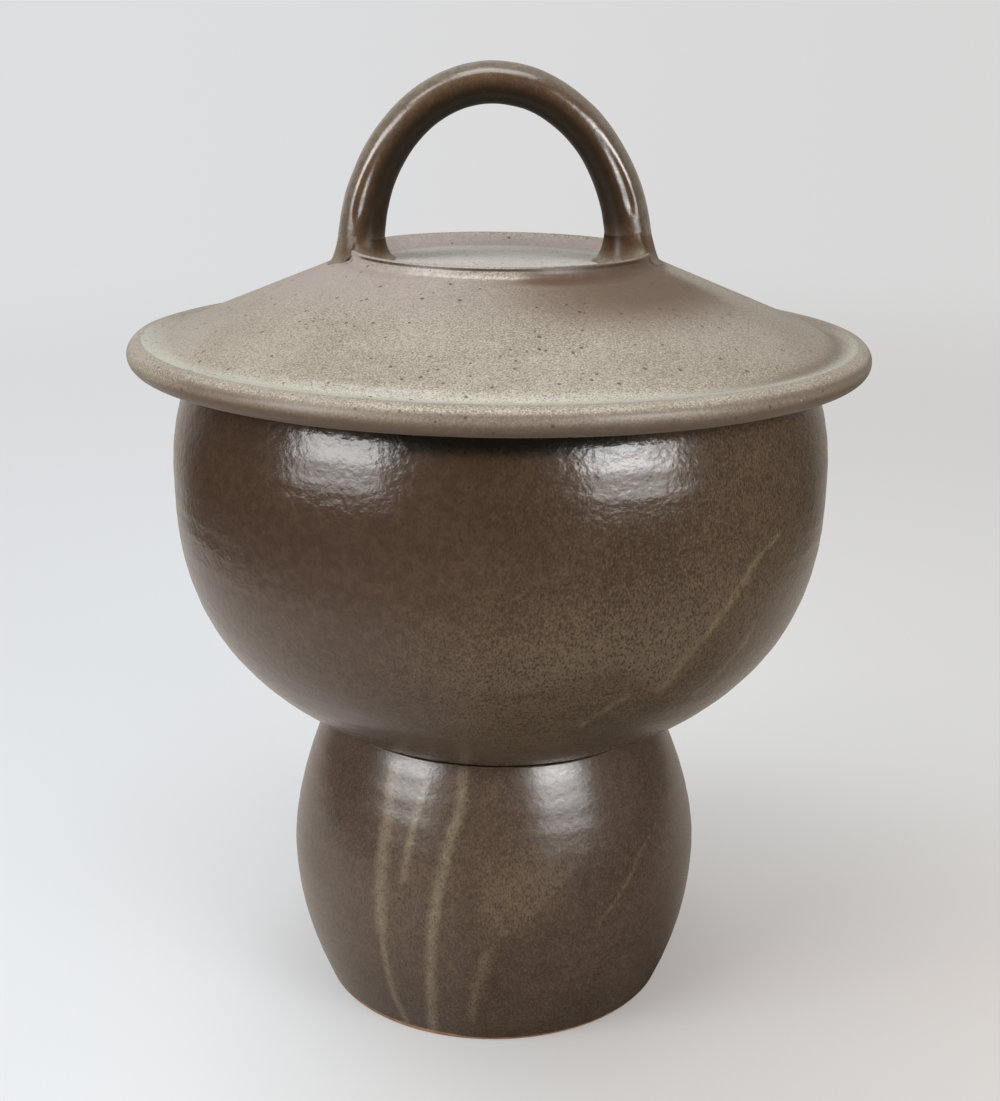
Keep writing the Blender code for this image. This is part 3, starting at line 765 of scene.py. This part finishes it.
def make_foot(placing, underside, material):
    """The foot's outer wall ends in a small round lip just under the bowl, all the way round."""
    wall_top = FOOT_NECK_HEIGHT - 1.7 * FOOT_LIP
    rise = np.linspace(FOOT_BASE_EDGE, wall_top, 200)
    wall = np.stack([foot_radius(rise), rise], axis=1)
    lip = arc((wall[-1][0] - FOOT_LIP, wall_top), FOOT_LIP, 0, 80)
    inner_top = (foot_radius(FOOT_NECK_HEIGHT) - FOOT_WALL, FOOT_NECK_HEIGHT)
    land = np.array([lip[-1], (lip[-1][0] - FOOT_LIP, FOOT_NECK_HEIGHT), inner_top])
    inner_rise = np.linspace(FOOT_NECK_HEIGHT, FOOT_BASE_EDGE, 120)
    inner_wall = np.stack([foot_radius(inner_rise) - FOOT_WALL, inner_rise], axis=1)
    base_outer = wall[0][0] - FOOT_BASE_EDGE
    base_inner = inner_wall[-1][0] + FOOT_BASE_EDGE
    outer_edge = arc((base_outer, FOOT_BASE_EDGE), FOOT_BASE_EDGE, -90, 0, 8)
    inner_edge = arc((base_inner, FOOT_BASE_EDGE), FOOT_BASE_EDGE, 180, 270, 8)
    base = np.array([inner_edge[-1], outer_edge[0]])
    outline = joined(
        evenly(outer_edge, CORNER_SPACING), evenly(wall, OUTSIDE_SPACING), evenly(lip, CORNER_SPACING),
        evenly(land, 0.0008), evenly(inner_wall, INSIDE_SPACING), evenly(inner_edge, CORNER_SPACING),
        evenly(base, 0.0015))[:-1]

    def relief(radius, height, azimuth, facing, plain):
        uneven = lumps(plain, 0.028, 3)
        share = ridge_strength(plain, facing < 0, 4)
        wave = RIDGE_HEIGHT * share * ridges(height, azimuth, FOOT_RIDGE_SPACING)
        drip = strongest_run(FOOT_RUNS, azimuth, height, radius)
        away = smooth(height, 0.0015, 0.006)
        away = away * smooth(height, FOOT_NECK_HEIGHT - 0.002, FOOT_NECK_HEIGHT - 0.008)
        return (wave + 0.00014 * uneven + np.where(facing > 0, 0.0001 * drip, 0)) * away

    def settle(points):
        """Near the neck the wall is lowered or raised with the leaned bowl, and the land follows it."""
        x, y, z = points.T
        across = np.hypot(x - placing.translation.x, y)
        edge = foot_radius(FOOT_NECK_HEIGHT) / np.maximum(across, SEAT_GAP)
        over = underside(placing.translation.x + (x - placing.translation.x) * edge, y * edge)
        shift = (over - FOOT_NECK_HEIGHT) * smooth(z, 0.06, FOOT_NECK_HEIGHT)
        limit = underside(x, y) - SEAT_GAP
        z = np.minimum(z + shift, limit)
        return np.stack([x, y, z], axis=1)

    def paints(radius, height, azimuth, facing, row_number):
        outer = facing > 0.02
        pale = strongest_run(FOOT_RUNS, azimuth, height, radius)
        from_left = np.radians(azimuth - route_azimuth(FOOT_PATCH_LEFT, height)) * radius
        from_right = np.radians(route_azimuth(FOOT_PATCH_RIGHT, height) - azimuth) * radius
        patch = smooth(from_left, -0.004, 0.008) * smooth(from_right, -0.0015, 0.004)
        patch = patch * smooth(height, 0.012, 0.03)
        patch = patch * (1 - 0.75 * smooth(height, 0.070, 0.098))
        between = smooth(azimuth, -34, -28) * smooth(azimuth, -4, -12)
        olive = np.clip(0.48 * patch + 0.35 * between, 0, 1)
        lip_line = smooth(height, wall_top - 0.0002, wall_top + 0.0003) * outer * 0.6
        bare_line = 0.0017 + 0.0012 * smooth(azimuth, -60, -40) * smooth(azimuth, -5, -25)
        bare = np.where(outer, smooth(height, bare_line, bare_line - 0.0008), 1.0)
        return {
            "pale": np.where(outer, pale + 0.12 * patch, 0), "olive": olive, "thin": lip_line,
            "warm": np.zeros_like(radius), "veil": 0.5 * (1 - patch) * (1 - pale), "bare": bare,
        }

    mesh = turned_mesh("foot_skin", outline, placing, relief, paints, settle)
    finished("foot_skin", mesh, material, "jar_body", ["pedestal_foot"])


def make_coil(placing, underside, material):
    """The coil inside the foot, pressed in with a finger all round."""
    low = FOOT_NECK_HEIGHT - COIL_DROP
    outer_low = foot_radius(low) - FOOT_WALL - SEAT_GAP
    outer_top = foot_radius(FOOT_NECK_HEIGHT) - FOOT_WALL - SEAT_GAP
    inner_top = (outer_top - COIL_WIDTH, FOOT_NECK_HEIGHT)
    bulge = (outer_low - COIL_WIDTH, low)
    outside = np.array([(outer_low, low), (outer_top, FOOT_NECK_HEIGHT)])
    land = np.array([outside[-1], inner_top])
    face = bezier(inner_top, bulge, bulge, outside[0])
    outline = joined(evenly(outside, 0.002), evenly(land, 0.001), evenly(face, 0.0008))[:-1]

    def relief(radius, height, azimuth, facing, plain):
        presses = 0.0005 * np.cos(math.tau * azimuth / COIL_PRESS_DEGREES)
        presses = presses + 0.0004 * lumps(plain, 0.008, 5)
        return np.where(facing < 0, presses, 0) * smooth(height, low, low + 0.003)

    def settle(points):
        x, y, z = points.T
        return np.stack([x, y, np.minimum(z, underside(x, y) - SEAT_GAP)], axis=1)

    mesh = turned_mesh("coil_skin", outline, placing, relief, all_bare, settle)
    finished("coil_skin", mesh, material, "jar_body", ["luting_coil"])


def make_lid(placing, material):
    shoulder_height, ring_height, dish_height = lid_heights()
    top = lid_top()
    roll_centre = (LID_RADIUS - LID_ROLL_RADIUS, LID_ROLL_HEIGHT)
    roll = arc(roll_centre, LID_ROLL_RADIUS, -90, 90)
    seat = (LID_RADIUS - 2 * LID_ROLL_RADIUS, 0)
    land_inner = FLANGE_RADIUS - FLANGE_WALL - FLANGE_LAND
    slope_foot_radius = land_inner - FLANGE_LAND
    cone_width = LID_RADIUS - LID_CONE_INSET - LID_DISH_RADIUS - LID_DISH_WALL_WIDTH - LID_STEP_WIDTH
    slope = LID_CONE_RISE / cone_width
    dome_height = dish_height - LID_THICKNESS
    slope_foot = (slope_foot_radius, dome_height - (slope_foot_radius - LID_DISH_RADIUS) * slope)
    dome = np.array([(0, dome_height), (LID_DISH_RADIUS, dome_height)])
    under_cone = np.array([dome[-1], slope_foot])
    to_land = np.array([slope_foot, (land_inner, 0)])
    land = np.array([(land_inner, 0), seat])
    to_roll = bezier(seat, (seat[0] + 0.002, 0), (roll[0][0] - 0.003, roll[0][1]), roll[0])
    outline = joined(
        evenly(dome, INSIDE_SPACING), evenly(under_cone, INSIDE_SPACING), evenly(to_land, 0.001),
        evenly(land, 0.002), evenly(to_roll, 0.0008), evenly(roll, 0.0007), top)
    top_start = len(outline) - len(top)

    def relief(radius, height, azimuth, facing, plain):
        """Soft rings and dents above, and a roll that is worn lower at the back."""
        upper = smooth(height, 0.0, 0.004)
        uneven = lumps(plain, 0.03, 6)
        wave = ridges(radius, azimuth, LID_RIDGE_SPACING) * (0.5 + 0.5 * lumps(plain, 0.06, 7))
        cone = smooth(radius, 0.064, 0.07) * smooth(radius, 0.125, 0.118)
        dish = smooth(radius, 0.047, 0.042) * smooth(radius, 0.004, 0.01)
        worn = smooth(np.abs(azimuth), 88, 122) * smooth(radius, 0.127, 0.134) * smooth(facing, 0.75, 0.20)
        fine = 0.00010 * (uneven - 0.6) + 0.00004 * wave * cone + 0.00010 * wave * dish
        return upper * (fine - BACK_WEAR * worn)

    def paints(radius, height, azimuth, facing, row_number):
        upper = row_number >= top_start
        at_right = smooth(azimuth, 18, 55)
        at_left = smooth(azimuth, -20, -55)
        inside = radius - 0.0062 * at_right - 0.0025 * at_left
        outside = radius - 0.0020 * at_right - 0.0012 * at_left
        groove = smooth(inside, 0.1235, 0.1300) * smooth(outside, 0.1405, 0.1365)
        groove = groove * (0.78 + 0.20 * at_left) * smooth(azimuth, -118, -60) * smooth(azimuth, 100, 76)
        shade = 0.45 * bell(radius, 0.1285, 0.0028) * smooth(azimuth, 30, 56) * smooth(azimuth, 112, 88)
        ridge = 0.36 * bell(radius, 0.1253, 0.0013) * smooth(np.abs(azimuth + 22), 30, 10)
        rightwards = np.sin(np.radians(azimuth))
        # The right side is browner: partly glaze and partly painted shade, on the side away from the
        # stronger left lamp.
        right = smooth(rightwards, -0.45, 0.60) * smooth(rightwards, 1.0, 0.93)
        warm = 0.78 * right * smooth(radius, 0.104, 0.074) + 0.05 * smooth(rightwards, 0.5, 0.9)
        warm = warm + 0.13 * smooth(rightwards, 0.05, 0.5)
        warm = warm + 0.14 * smooth(radius, 0.092, 0.068) * smooth(rightwards, 0.5, 0.1)
        warm = warm * smooth(radius, 0.055, 0.062) * smooth(radius, 0.142, 0.134)
        # A painted shade on the small step below the ring, on the right: its dark brown is partly thin glaze
        # on the step's wall and partly the shade that falls there.
        step = smooth(radius, 0.0568, 0.0576) * smooth(radius, 0.0650, 0.0605)
        step = step * smooth(rightwards, -0.03, 0.34)
        # A painted shade line: a dark line along the ring's edge on the front half, where the edge turns
        # from the light.
        painted_edge_shade = smooth(np.abs(azimuth), 80, 55) * bell(height - ring_height, -0.0011, 0.0006)
        painted_edge_shade = painted_edge_shade * smooth(radius, 0.0567, 0.0572)
        # A painted highlight: a pale glint on the step below the ring, to the front left of the middle.
        glint = 0.50 * bell(radius, 0.0588, 0.0008) * smooth(np.abs(azimuth + 13), 32, 14)
        browner = 0.84 - 0.38 * smooth(height, 0.0058, 0.003) + 0.12 * smooth(azimuth, -5, -30)
        roll_brown = smooth(height, 0.0074, 0.0048) * smooth(radius, 0.1385, 0.1410) * browner
        roll_brown = roll_brown * (1 - 0.85 * smooth(azimuth, -42, -60) * smooth(azimuth, -150, -120))
        bare = np.where(upper, 0, smooth(radius, 0.1330, 0.1318) * smooth(radius, 0.1000, 0.1012))
        # The left of the cone gets a purple-grey veil with fewer specks: partly a smoother glaze and partly
        # a painted sheen, the broad reflection of the left lamp.
        high = smooth(radius, 0.098, 0.070) * smooth(radius, 0.050, 0.054)
        veil = 0.75 * high * smooth(rightwards, 0.3, -0.5) + 0.25 * smooth(rightwards, -0.75, -0.98)
        veil = veil + 0.9 * smooth(radius, 0.0462, 0.0490) * smooth(radius, 0.0560, 0.0540)
        floor = 0.74 * smooth(radius, 0.0500, 0.0455)
        warm = np.where(upper, warm + step + shade, 0.45 * smooth(height, 0.0045, 0.0010))
        return {
            "pale": np.where(upper, ridge + floor + glint, 0), "olive": np.where(upper, groove, 0),
            "warm": np.clip(warm + roll_brown, 0, 1),
            "thin": np.where(upper, np.maximum(painted_edge_shade, 0.45 * step), 0),
            "veil": np.clip(veil * upper * (1 - groove), 0, 1), "bare": bare,
        }

    mesh = turned_mesh("lid_skin", outline, placing, relief, paints, segments=LID_SEGMENTS)
    finished("lid_skin", mesh, material, "lid_body", ["lid"])


def make_flange(placing, material):
    inner = FLANGE_RADIUS - FLANGE_WALL
    half = FLANGE_WALL / 2
    middle = FLANGE_RADIUS - half
    low = half - FLANGE_DEPTH
    outline = joined(
        evenly(arc((middle, low), half, 180, 360), 0.0009),
        evenly(np.array([(FLANGE_RADIUS, low), (FLANGE_RADIUS, -SEAT_GAP)]), 0.0015),
        evenly(np.array([(FLANGE_RADIUS, -SEAT_GAP), (inner, -SEAT_GAP)]), 0.002),
        evenly(np.array([(inner, -SEAT_GAP), (inner, low)]), 0.0015))[:-1]

    def relief(radius, height, azimuth, facing, plain):
        away = smooth(height, -0.0005, -0.003)
        return away * (0.00015 * lumps(plain, 0.02, 8) - 0.00015)

    mesh = turned_mesh("flange_skin", outline, placing, relief, all_bare)
    finished("flange_skin", mesh, material, "lid_body", ["lid_flange"])


def bar_half_sizes(up_share):
    thickness = mix(HANDLE_LEG_THICKNESS, HANDLE_TOP_THICKNESS, up_share)
    depth = mix(HANDLE_LEG_DEPTH, HANDLE_TOP_DEPTH, up_share)
    return thickness / 2, depth / 2


def rounded_square(angles, half_width, half_depth):
    """An outline between an oval and a square: out of the arch, and towards the camera."""
    power = 2 / HANDLE_SQUARENESS
    out = np.sign(np.cos(angles)) * np.abs(np.cos(angles)) ** power * half_width
    front = np.sign(np.sin(angles)) * np.abs(np.sin(angles)) ** power * half_depth
    return out, front


def bar_section(angles, up_share):
    """The bar's outline, with a shallow groove in the front and back of the legs."""
    half_width, half_depth = bar_half_sizes(up_share)
    out, front = rounded_square(angles, half_width, half_depth)
    groove = bell(out / half_width, 0.22, 0.16) * (1 - smooth(up_share, 0.25, 0.8))
    groove = groove * smooth(up_share, 0.17, 0.32)
    front = front - np.sign(front) * BAR_GROOVE_DEPTH * groove * smooth(np.abs(front), 0, half_depth * 0.6)
    return out, front


def bar_sides(turn):
    """Shares of the bar's outer side and of its underside."""
    return smooth(np.cos(turn), 0.40, 0.85), smooth(np.cos(turn), 0.36, -0.40)


def handle_path():
    """Points up the left leg, over the arch and down the right leg.

    Each gives its place across and up, its share up the arch, and the way out across and up.
    """
    dish_height = lid_heights()[2]
    spring = dish_height + HANDLE_LEG_RISE
    leg = [(-HANDLE_HALF_SPAN, spring - drop, 0, -1, 0) for drop in (0.006, 0.0045, 0.003, 0.0015)]
    arch = []
    count = int(math.pi * HANDLE_ARCH_RISE / HANDLE_SPACING)
    for i in range(count + 1):
        angle = math.pi * (1 - i / count)
        out = np.array([HANDLE_ARCH_RISE * math.cos(angle), HANDLE_HALF_SPAN * math.sin(angle)])
        out /= np.hypot(*out)
        arch.append((HANDLE_HALF_SPAN * math.cos(angle), spring + HANDLE_ARCH_RISE * math.sin(angle),
                     math.sin(angle), out[0], out[1]))
    return leg + arch + [(-across, up, share, -out, above) for across, up, share, out, above in leg[::-1]]


def tube_mesh(name, rings):
    """A closed skin through rings of points."""
    sides = len(rings[0])
    points = np.concatenate(rings)
    faces = []
    for low in range(0, len(points) - sides, sides):
        for side in range(sides):
            after = (side + 1) % sides
            faces.append((low + side, low + after, low + sides + after, low + sides + side))
    faces.append(tuple(range(sides))[::-1])
    faces.append(tuple(range(len(points) - sides, len(points))))
    mesh = bpy.data.meshes.new(name)
    mesh.from_pydata(points.tolist(), [], faces)
    mesh.update()
    return mesh


def make_handle(placing, material):
    angles = np.arange(HANDLE_SIDES) / HANDLE_SIDES * math.tau
    rings = []
    shares = []
    for across, up, up_share, out_x, out_z in handle_path():
        out, front = bar_section(angles, up_share)
        trim = HANDLE_SHOULDER_TRIM * 4 * up_share**2 * (1 - up_share**2)
        out = np.where(out > 0, out * (1 - trim / (HANDLE_TOP_THICKNESS / 2)), out)
        ring = np.stack([across + out * out_x, -front, up + out * out_z], axis=1)
        rings.append(ring[::-1])
        shares.append(up_share)
    every = np.array(rings)
    uneven = 0.00020 * (lumps(every, 0.014, 9) - 1) + 0.00008 * (lumps(every, 0.005, 10) - 0.6)
    placed = []
    for ring, proud in zip(rings, uneven):
        away = ring - ring.mean(axis=0)
        away /= np.linalg.norm(away, axis=1)[:, None]
        placed.append(put(ring + away * proud[:, None], placing))
    mesh = tube_mesh("handle_skin", placed)
    up_share = np.repeat(shares, HANDLE_SIDES)
    outer, under = bar_sides(np.tile(angles[::-1], len(rings)))
    foot = smooth(up_share, 0.22, 0.08)
    # The outward side is painted paler: partly olive glaze and partly a painted sheen of the light from
    # above and the sides. The underside and inner side are painted near black: painted shade, where little
    # light reaches.
    paint(mesh, "pale", 0.20 * outer)
    paint(mesh, "olive", np.clip(0.8 * outer + 0.1 * foot, 0, 1))
    paint(mesh, "warm", under * (0.85 + 0.15 * up_share) * (1 - 0.45 * foot))
    finished("handle_skin", mesh, material, "lid_body", ["lid_handle"])


def make_root(name, node_name, side, placing, lean, material):
    """Clay smeared up one leg: a hollow curve from the lid's surface to the bar, all round it."""
    angles = np.arange(ROOT_SIDES) / ROOT_SIDES * math.tau
    dish_height = lid_heights()[2]
    spring = dish_height + HANDLE_LEG_RISE

    def around(rise, spread):
        """Points round the leg at each column's own height over the dish."""
        up_share = np.clip((dish_height + rise - spring) / HANDLE_ARCH_RISE, 0, 1)
        across = side * HANDLE_HALF_SPAN * np.sqrt(1 - up_share**2)
        half_width, half_depth = bar_half_sizes(up_share)
        out, front = rounded_square(angles, half_width + spread, half_depth + spread)
        return np.stack([across + side * out, -front, dish_height + rise], axis=1)

    base = np.zeros(ROOT_SIDES)
    for _ in range(4):
        on_lid = put(around(base, ROOT_SPREAD), lean)
        base = base + lid_top_height(np.hypot(on_lid[:, 0], on_lid[:, 1])) - on_lid[:, 2]
    uneven = 1 + 0.25 * lumps(around(base, ROOT_SPREAD), 0.008, 11 + side)
    shares = np.linspace(0, 1, ROOT_LEVELS)
    rings = [around(base - ROOT_SINK, ROOT_SPREAD * uneven)]
    for share in shares:
        curve = 1 - math.sqrt(1 - (1 - share) ** 2)
        rise = base * (1 - share) + ROOT_RISE * share
        rings.append(around(rise, ROOT_SPREAD * curve * uneven + mix(0.0001, -0.0007, share)))
    rings.append(around(np.full(ROOT_SIDES, ROOT_RISE), np.full(ROOT_SIDES, -0.001)))
    if side > 0:
        rings = [ring[::-1] for ring in rings]
        angles = angles[::-1]
    mesh = tube_mesh(name, [put(ring, placing) for ring in rings])
    level = np.repeat([0, *shares, 1], ROOT_SIDES)
    turn = np.tile(angles, len(rings))
    inner = smooth(np.cos(turn), 0.2, -0.6)
    outer, under = bar_sides(turn)
    # Near the lid the inner side is a pale web of clay. The outward side is painted paler as on the bar, and
    # the lit share is larger on the left root: painted light from the stronger left lamp. The underside is
    # painted dark, a painted shade.
    paint(mesh, "pale", 0.35 * smooth(level, 0.25, 0.05) * inner + 0.20 * outer * smooth(level, 0.5, 1.0))
    lit = mix(0.8 if side < 0 else 0.3, 0.9, smooth(level, 0.5, 1.0))
    paint(mesh, "olive", np.clip(lit * outer + 0.5 * smooth(level, 0.4, 0.05), 0, 1))
    paint(mesh, "warm", 0.80 * under * smooth(level, 0.10, 0.75))
    finished(name, mesh, material, "lid_body", [node_name])


# Stage


def make_floor():
    """A pale paper floor that keeps the jar's shadow and fades into the backdrop's colour further back.

    Mirrored rays see it warmer, and dimmer before the jar. Rays that only light the jar see an even paper.
    """
    mesh = bpy.data.meshes.new("floor")
    turns = np.arange(FLOOR_SIDES) / FLOOR_SIDES * math.tau
    ring = [(FLOOR_REACH * math.cos(turn), FLOOR_REACH * math.sin(turn), 0) for turn in turns]
    mesh.from_pydata(ring, [], [tuple(range(len(ring)))])
    floor = added("floor", mesh)
    material = bpy.data.materials.new("floor_paper")
    material.use_nodes = True
    tree = material.node_tree
    tree.nodes.remove(tree.nodes["Principled BSDF"])
    mirrored, shown = mirrored_and_shown(tree)
    place = node(tree, "ShaderNodeNewGeometry").outputs["Position"]
    across, back, _ = node(tree, "ShaderNodeSeparateXYZ", inputs={"Vector": place}).outputs
    away = node(tree, "ShaderNodeVectorMath", operation="LENGTH", inputs={0: place}).outputs["Value"]

    side = eased(tree, across, -0.28, 0.28)
    paper_colour = tinted(tree, mirrored, blended(tree, side, PAPER_LEFT, PAPER_RIGHT))
    paper = node(tree, "ShaderNodeBsdfDiffuse", inputs={"Color": paper_colour})
    # Painted light and shade on the floor: near the jar the glow is brighter to the left and dimmer and
    # warmer to the right, where the jar's shadow falls.
    near_glow = blended(tree, eased(tree, across, -0.16, 0.06), GLOW_NEAR_LEFT, GLOW_NEAR_RIGHT)
    far_glow = blended(tree, side, GLOW_FAR_LEFT, GLOW_FAR_RIGHT)
    glow_colour = tinted(tree, mirrored, blended(tree, eased(tree, back, -0.05, 0.24), near_glow, far_glow))
    # A painted contact shadow: the glow is dimmer round the foot.
    glow_strength = eased(tree, away, 0.070, 0.120, GLOW_AT_FOOT, 1.0)
    glow = node(tree, "ShaderNodeEmission", inputs={"Color": glow_colour, "Strength": glow_strength})
    near = node(tree, "ShaderNodeAddShader", inputs={0: paper.outputs[0], 1: glow.outputs[0]})

    offset = node(tree, "ShaderNodeVectorMath", operation="SUBTRACT", inputs={0: place, 1: CAMERA_PLACE})
    heading = node(tree, "ShaderNodeVectorMath", operation="NORMALIZE", inputs={0: offset.outputs[0]})
    heading_across = node(tree, "ShaderNodeSeparateXYZ", inputs={"Vector": heading.outputs[0]}).outputs["X"]
    far_colour = blended(tree, eased(tree, heading_across, -0.35, 0.35), BACKDROP_LEFT, BACKDROP_RIGHT)
    far = node(tree, "ShaderNodeEmission", inputs={"Color": tinted(tree, mirrored, far_colour)})
    seen = node(tree, "ShaderNodeMixShader", inputs={
        0: eased(tree, away, 0.45, 2.4), 1: near.outputs[0], 2: far.outputs[0]})

    backwards = maths(tree, "DIVIDE", back, away)
    sideways = maths(tree, "DIVIDE", across, away)
    dim_share = left_to_right(tree, sideways, MIRROR_DIM_LEFT, MIRROR_DIM_RIGHT)
    pale_near = left_to_right(tree, sideways, *PALE_FROM_NEAR)
    pale_far = left_to_right(tree, sideways, *PALE_FROM_FAR)
    dim_near = left_to_right(tree, sideways, *DIM_TO_NEAR)
    pale_from = eased(tree, away, *NEAR_AND_FAR, pale_near, pale_far)
    dim_to = eased(tree, away, *NEAR_AND_FAR, dim_near, DIM_TO_FAR)
    in_front = times(tree, mirrored, eased(tree, backwards, pale_from, dim_to, dim_share, 1.0))
    dim = node(tree, "ShaderNodeEmission", inputs={"Color": (*DIM_ROOM, 1)})
    dimmed = node(tree, "ShaderNodeMixShader", inputs={0: in_front, 1: seen.outputs[0], 2: dim.outputs[0]})
    bounce = node(tree, "ShaderNodeBsdfDiffuse", inputs={"Color": (*PAPER_BOUNCE, 1)})
    surface = node(tree, "ShaderNodeMixShader", inputs={
        0: shown, 1: bounce.outputs[0], 2: dimmed.outputs[0]})
    tree.links.new(surface.outputs[0], tree.nodes["Material Output"].inputs["Surface"])
    mesh.materials.append(material)


def make_world():
    """A pale backdrop, with a low fill that lights the jar.

    Mirrored rays see the backdrop warmer, and a dim room before the jar.
    """
    world = bpy.data.worlds.new("studio")
    bpy.context.scene.world = world
    world.use_nodes = True
    tree = world.node_tree
    mirrored, shown = mirrored_and_shown(tree)
    direction = node(tree, "ShaderNodeTexCoord").outputs["Generated"]
    across, back, up = node(tree, "ShaderNodeSeparateXYZ", inputs={"Vector": direction}).outputs
    backdrop = blended(tree, eased(tree, across, -0.35, 0.35), BACKDROP_LEFT, BACKDROP_RIGHT)
    dim_share = left_to_right(tree, across, MIRROR_DIM_LEFT, MIRROR_DIM_RIGHT)
    pale_from = left_to_right(tree, across, *PALE_FROM_FAR)
    in_front = eased(tree, back, pale_from, DIM_TO_FAR, dim_share, 1.0)
    seen = blended(tree, times(tree, in_front, mirrored), tinted(tree, mirrored, backdrop), DIM_ROOM)
    fill = blended(tree, eased(tree, up, 0.15, 0.85), FILL_BELOW, FILL_ABOVE)
    fill = blended(tree, eased(tree, back, 0.05, 0.75), fill, FILL_BEHIND, "ADD")
    tree.links.new(blended(tree, shown, fill, seen), tree.nodes["Background"].inputs["Color"])


def add_lamp(name, width, height, radiance, place, turned=(0, 0, 0)):
    """A rectangle of even light that the camera doesn't see."""
    light = bpy.data.lights.new(name, "AREA")
    light.shape = "RECTANGLE"
    light.size = width
    light.size_y = height
    light.energy = math.pi * width * height * radiance
    lamp = added(name, light)
    lamp.location = place
    lamp.rotation_euler = turned
    lamp.visible_camera = False


def make_lights():
    for name, (azimuth, distance, width, height, low_edge, radiance) in SOFT_BOXES.items():
        turn = math.radians(azimuth)
        place = (distance * math.sin(turn), -distance * math.cos(turn), low_edge + height / 2)
        add_lamp(name, width, height, radiance, place, (math.pi / 2, 0, turn))
    add_lamp("top_light", *TOP_LIGHT_SIZE, TOP_LIGHT_RADIANCE, TOP_LIGHT_PLACE)


def make_camera():
    camera = bpy.data.cameras.new("camera")
    camera.lens = CAMERA_LENS
    camera.sensor_width = CAMERA_SENSOR
    camera.clip_start = 0.01
    camera.clip_end = 50
    seat = added("camera", camera)
    seat.location = CAMERA_PLACE
    seat.rotation_euler = (math.pi / 2 - CAMERA_PITCH, 0, 0)
    bpy.context.scene.camera = seat


def main():
    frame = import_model()

    foot_low, foot_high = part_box("pedestal_foot")
    foot_x = (foot_low.x + foot_high.x) / 2
    axis = Vector(frame["joints"][0]["axis"])
    lean = math.atan2(axis.x, axis.z)
    bowl_x = foot_x + BOWL_OFFSET_ON_FOOT
    bowl_bottom = FOOT_NECK_HEIGHT - float(bowl_rise_at(foot_radius(FOOT_NECK_HEIGHT)))
    foot_place = Matrix.Translation((foot_x, 0, 0))
    bowl_place = Matrix.Translation((bowl_x, 0, bowl_bottom)) @ Matrix.Rotation(lean, 4, "Y")
    rim = BOWL_BELLY_RISE + BOWL_SHOULDER_RISE
    lid_place = bowl_place @ Matrix.Translation((LID_SLIP, 0, rim + SEAT_GAP))
    handle_lean = Matrix.Translation((HANDLE_SHIFT, 0, 0)) @ Matrix.Rotation(HANDLE_LEAN, 4, "Y")
    handle_place = lid_place @ handle_lean

    brown = glaze("bowl_glaze_look", BROWN)
    foot_brown = glaze("foot_glaze_look", FOOT_BROWN)
    lid_tan = glaze("lid_glaze_look", LID_TAN)
    handle_brown = glaze("handle_glaze_look", HANDLE_BROWN)
    root_green = glaze("root_glaze_look", ROOT_GREEN)
    clay = glaze("bare_clay_look", BARE_CLAY)

    underside = bowl_underside(bowl_place)
    make_bowl(bowl_place, brown)
    make_foot(foot_place, underside, foot_brown)
    make_coil(foot_place, underside, clay)
    make_lid(lid_place, lid_tan)
    make_flange(lid_place, clay)
    make_handle(handle_place, handle_brown)
    make_root("root_skin_left", "handle_root_left", -1, handle_place, handle_lean, root_green)
    make_root("root_skin_right", "handle_root_right", 1, handle_place, handle_lean, root_green)

    make_floor()
    make_world()
    make_lights()
    make_camera()
    bpy.context.scene.view_settings.view_transform = "Standard"


main()
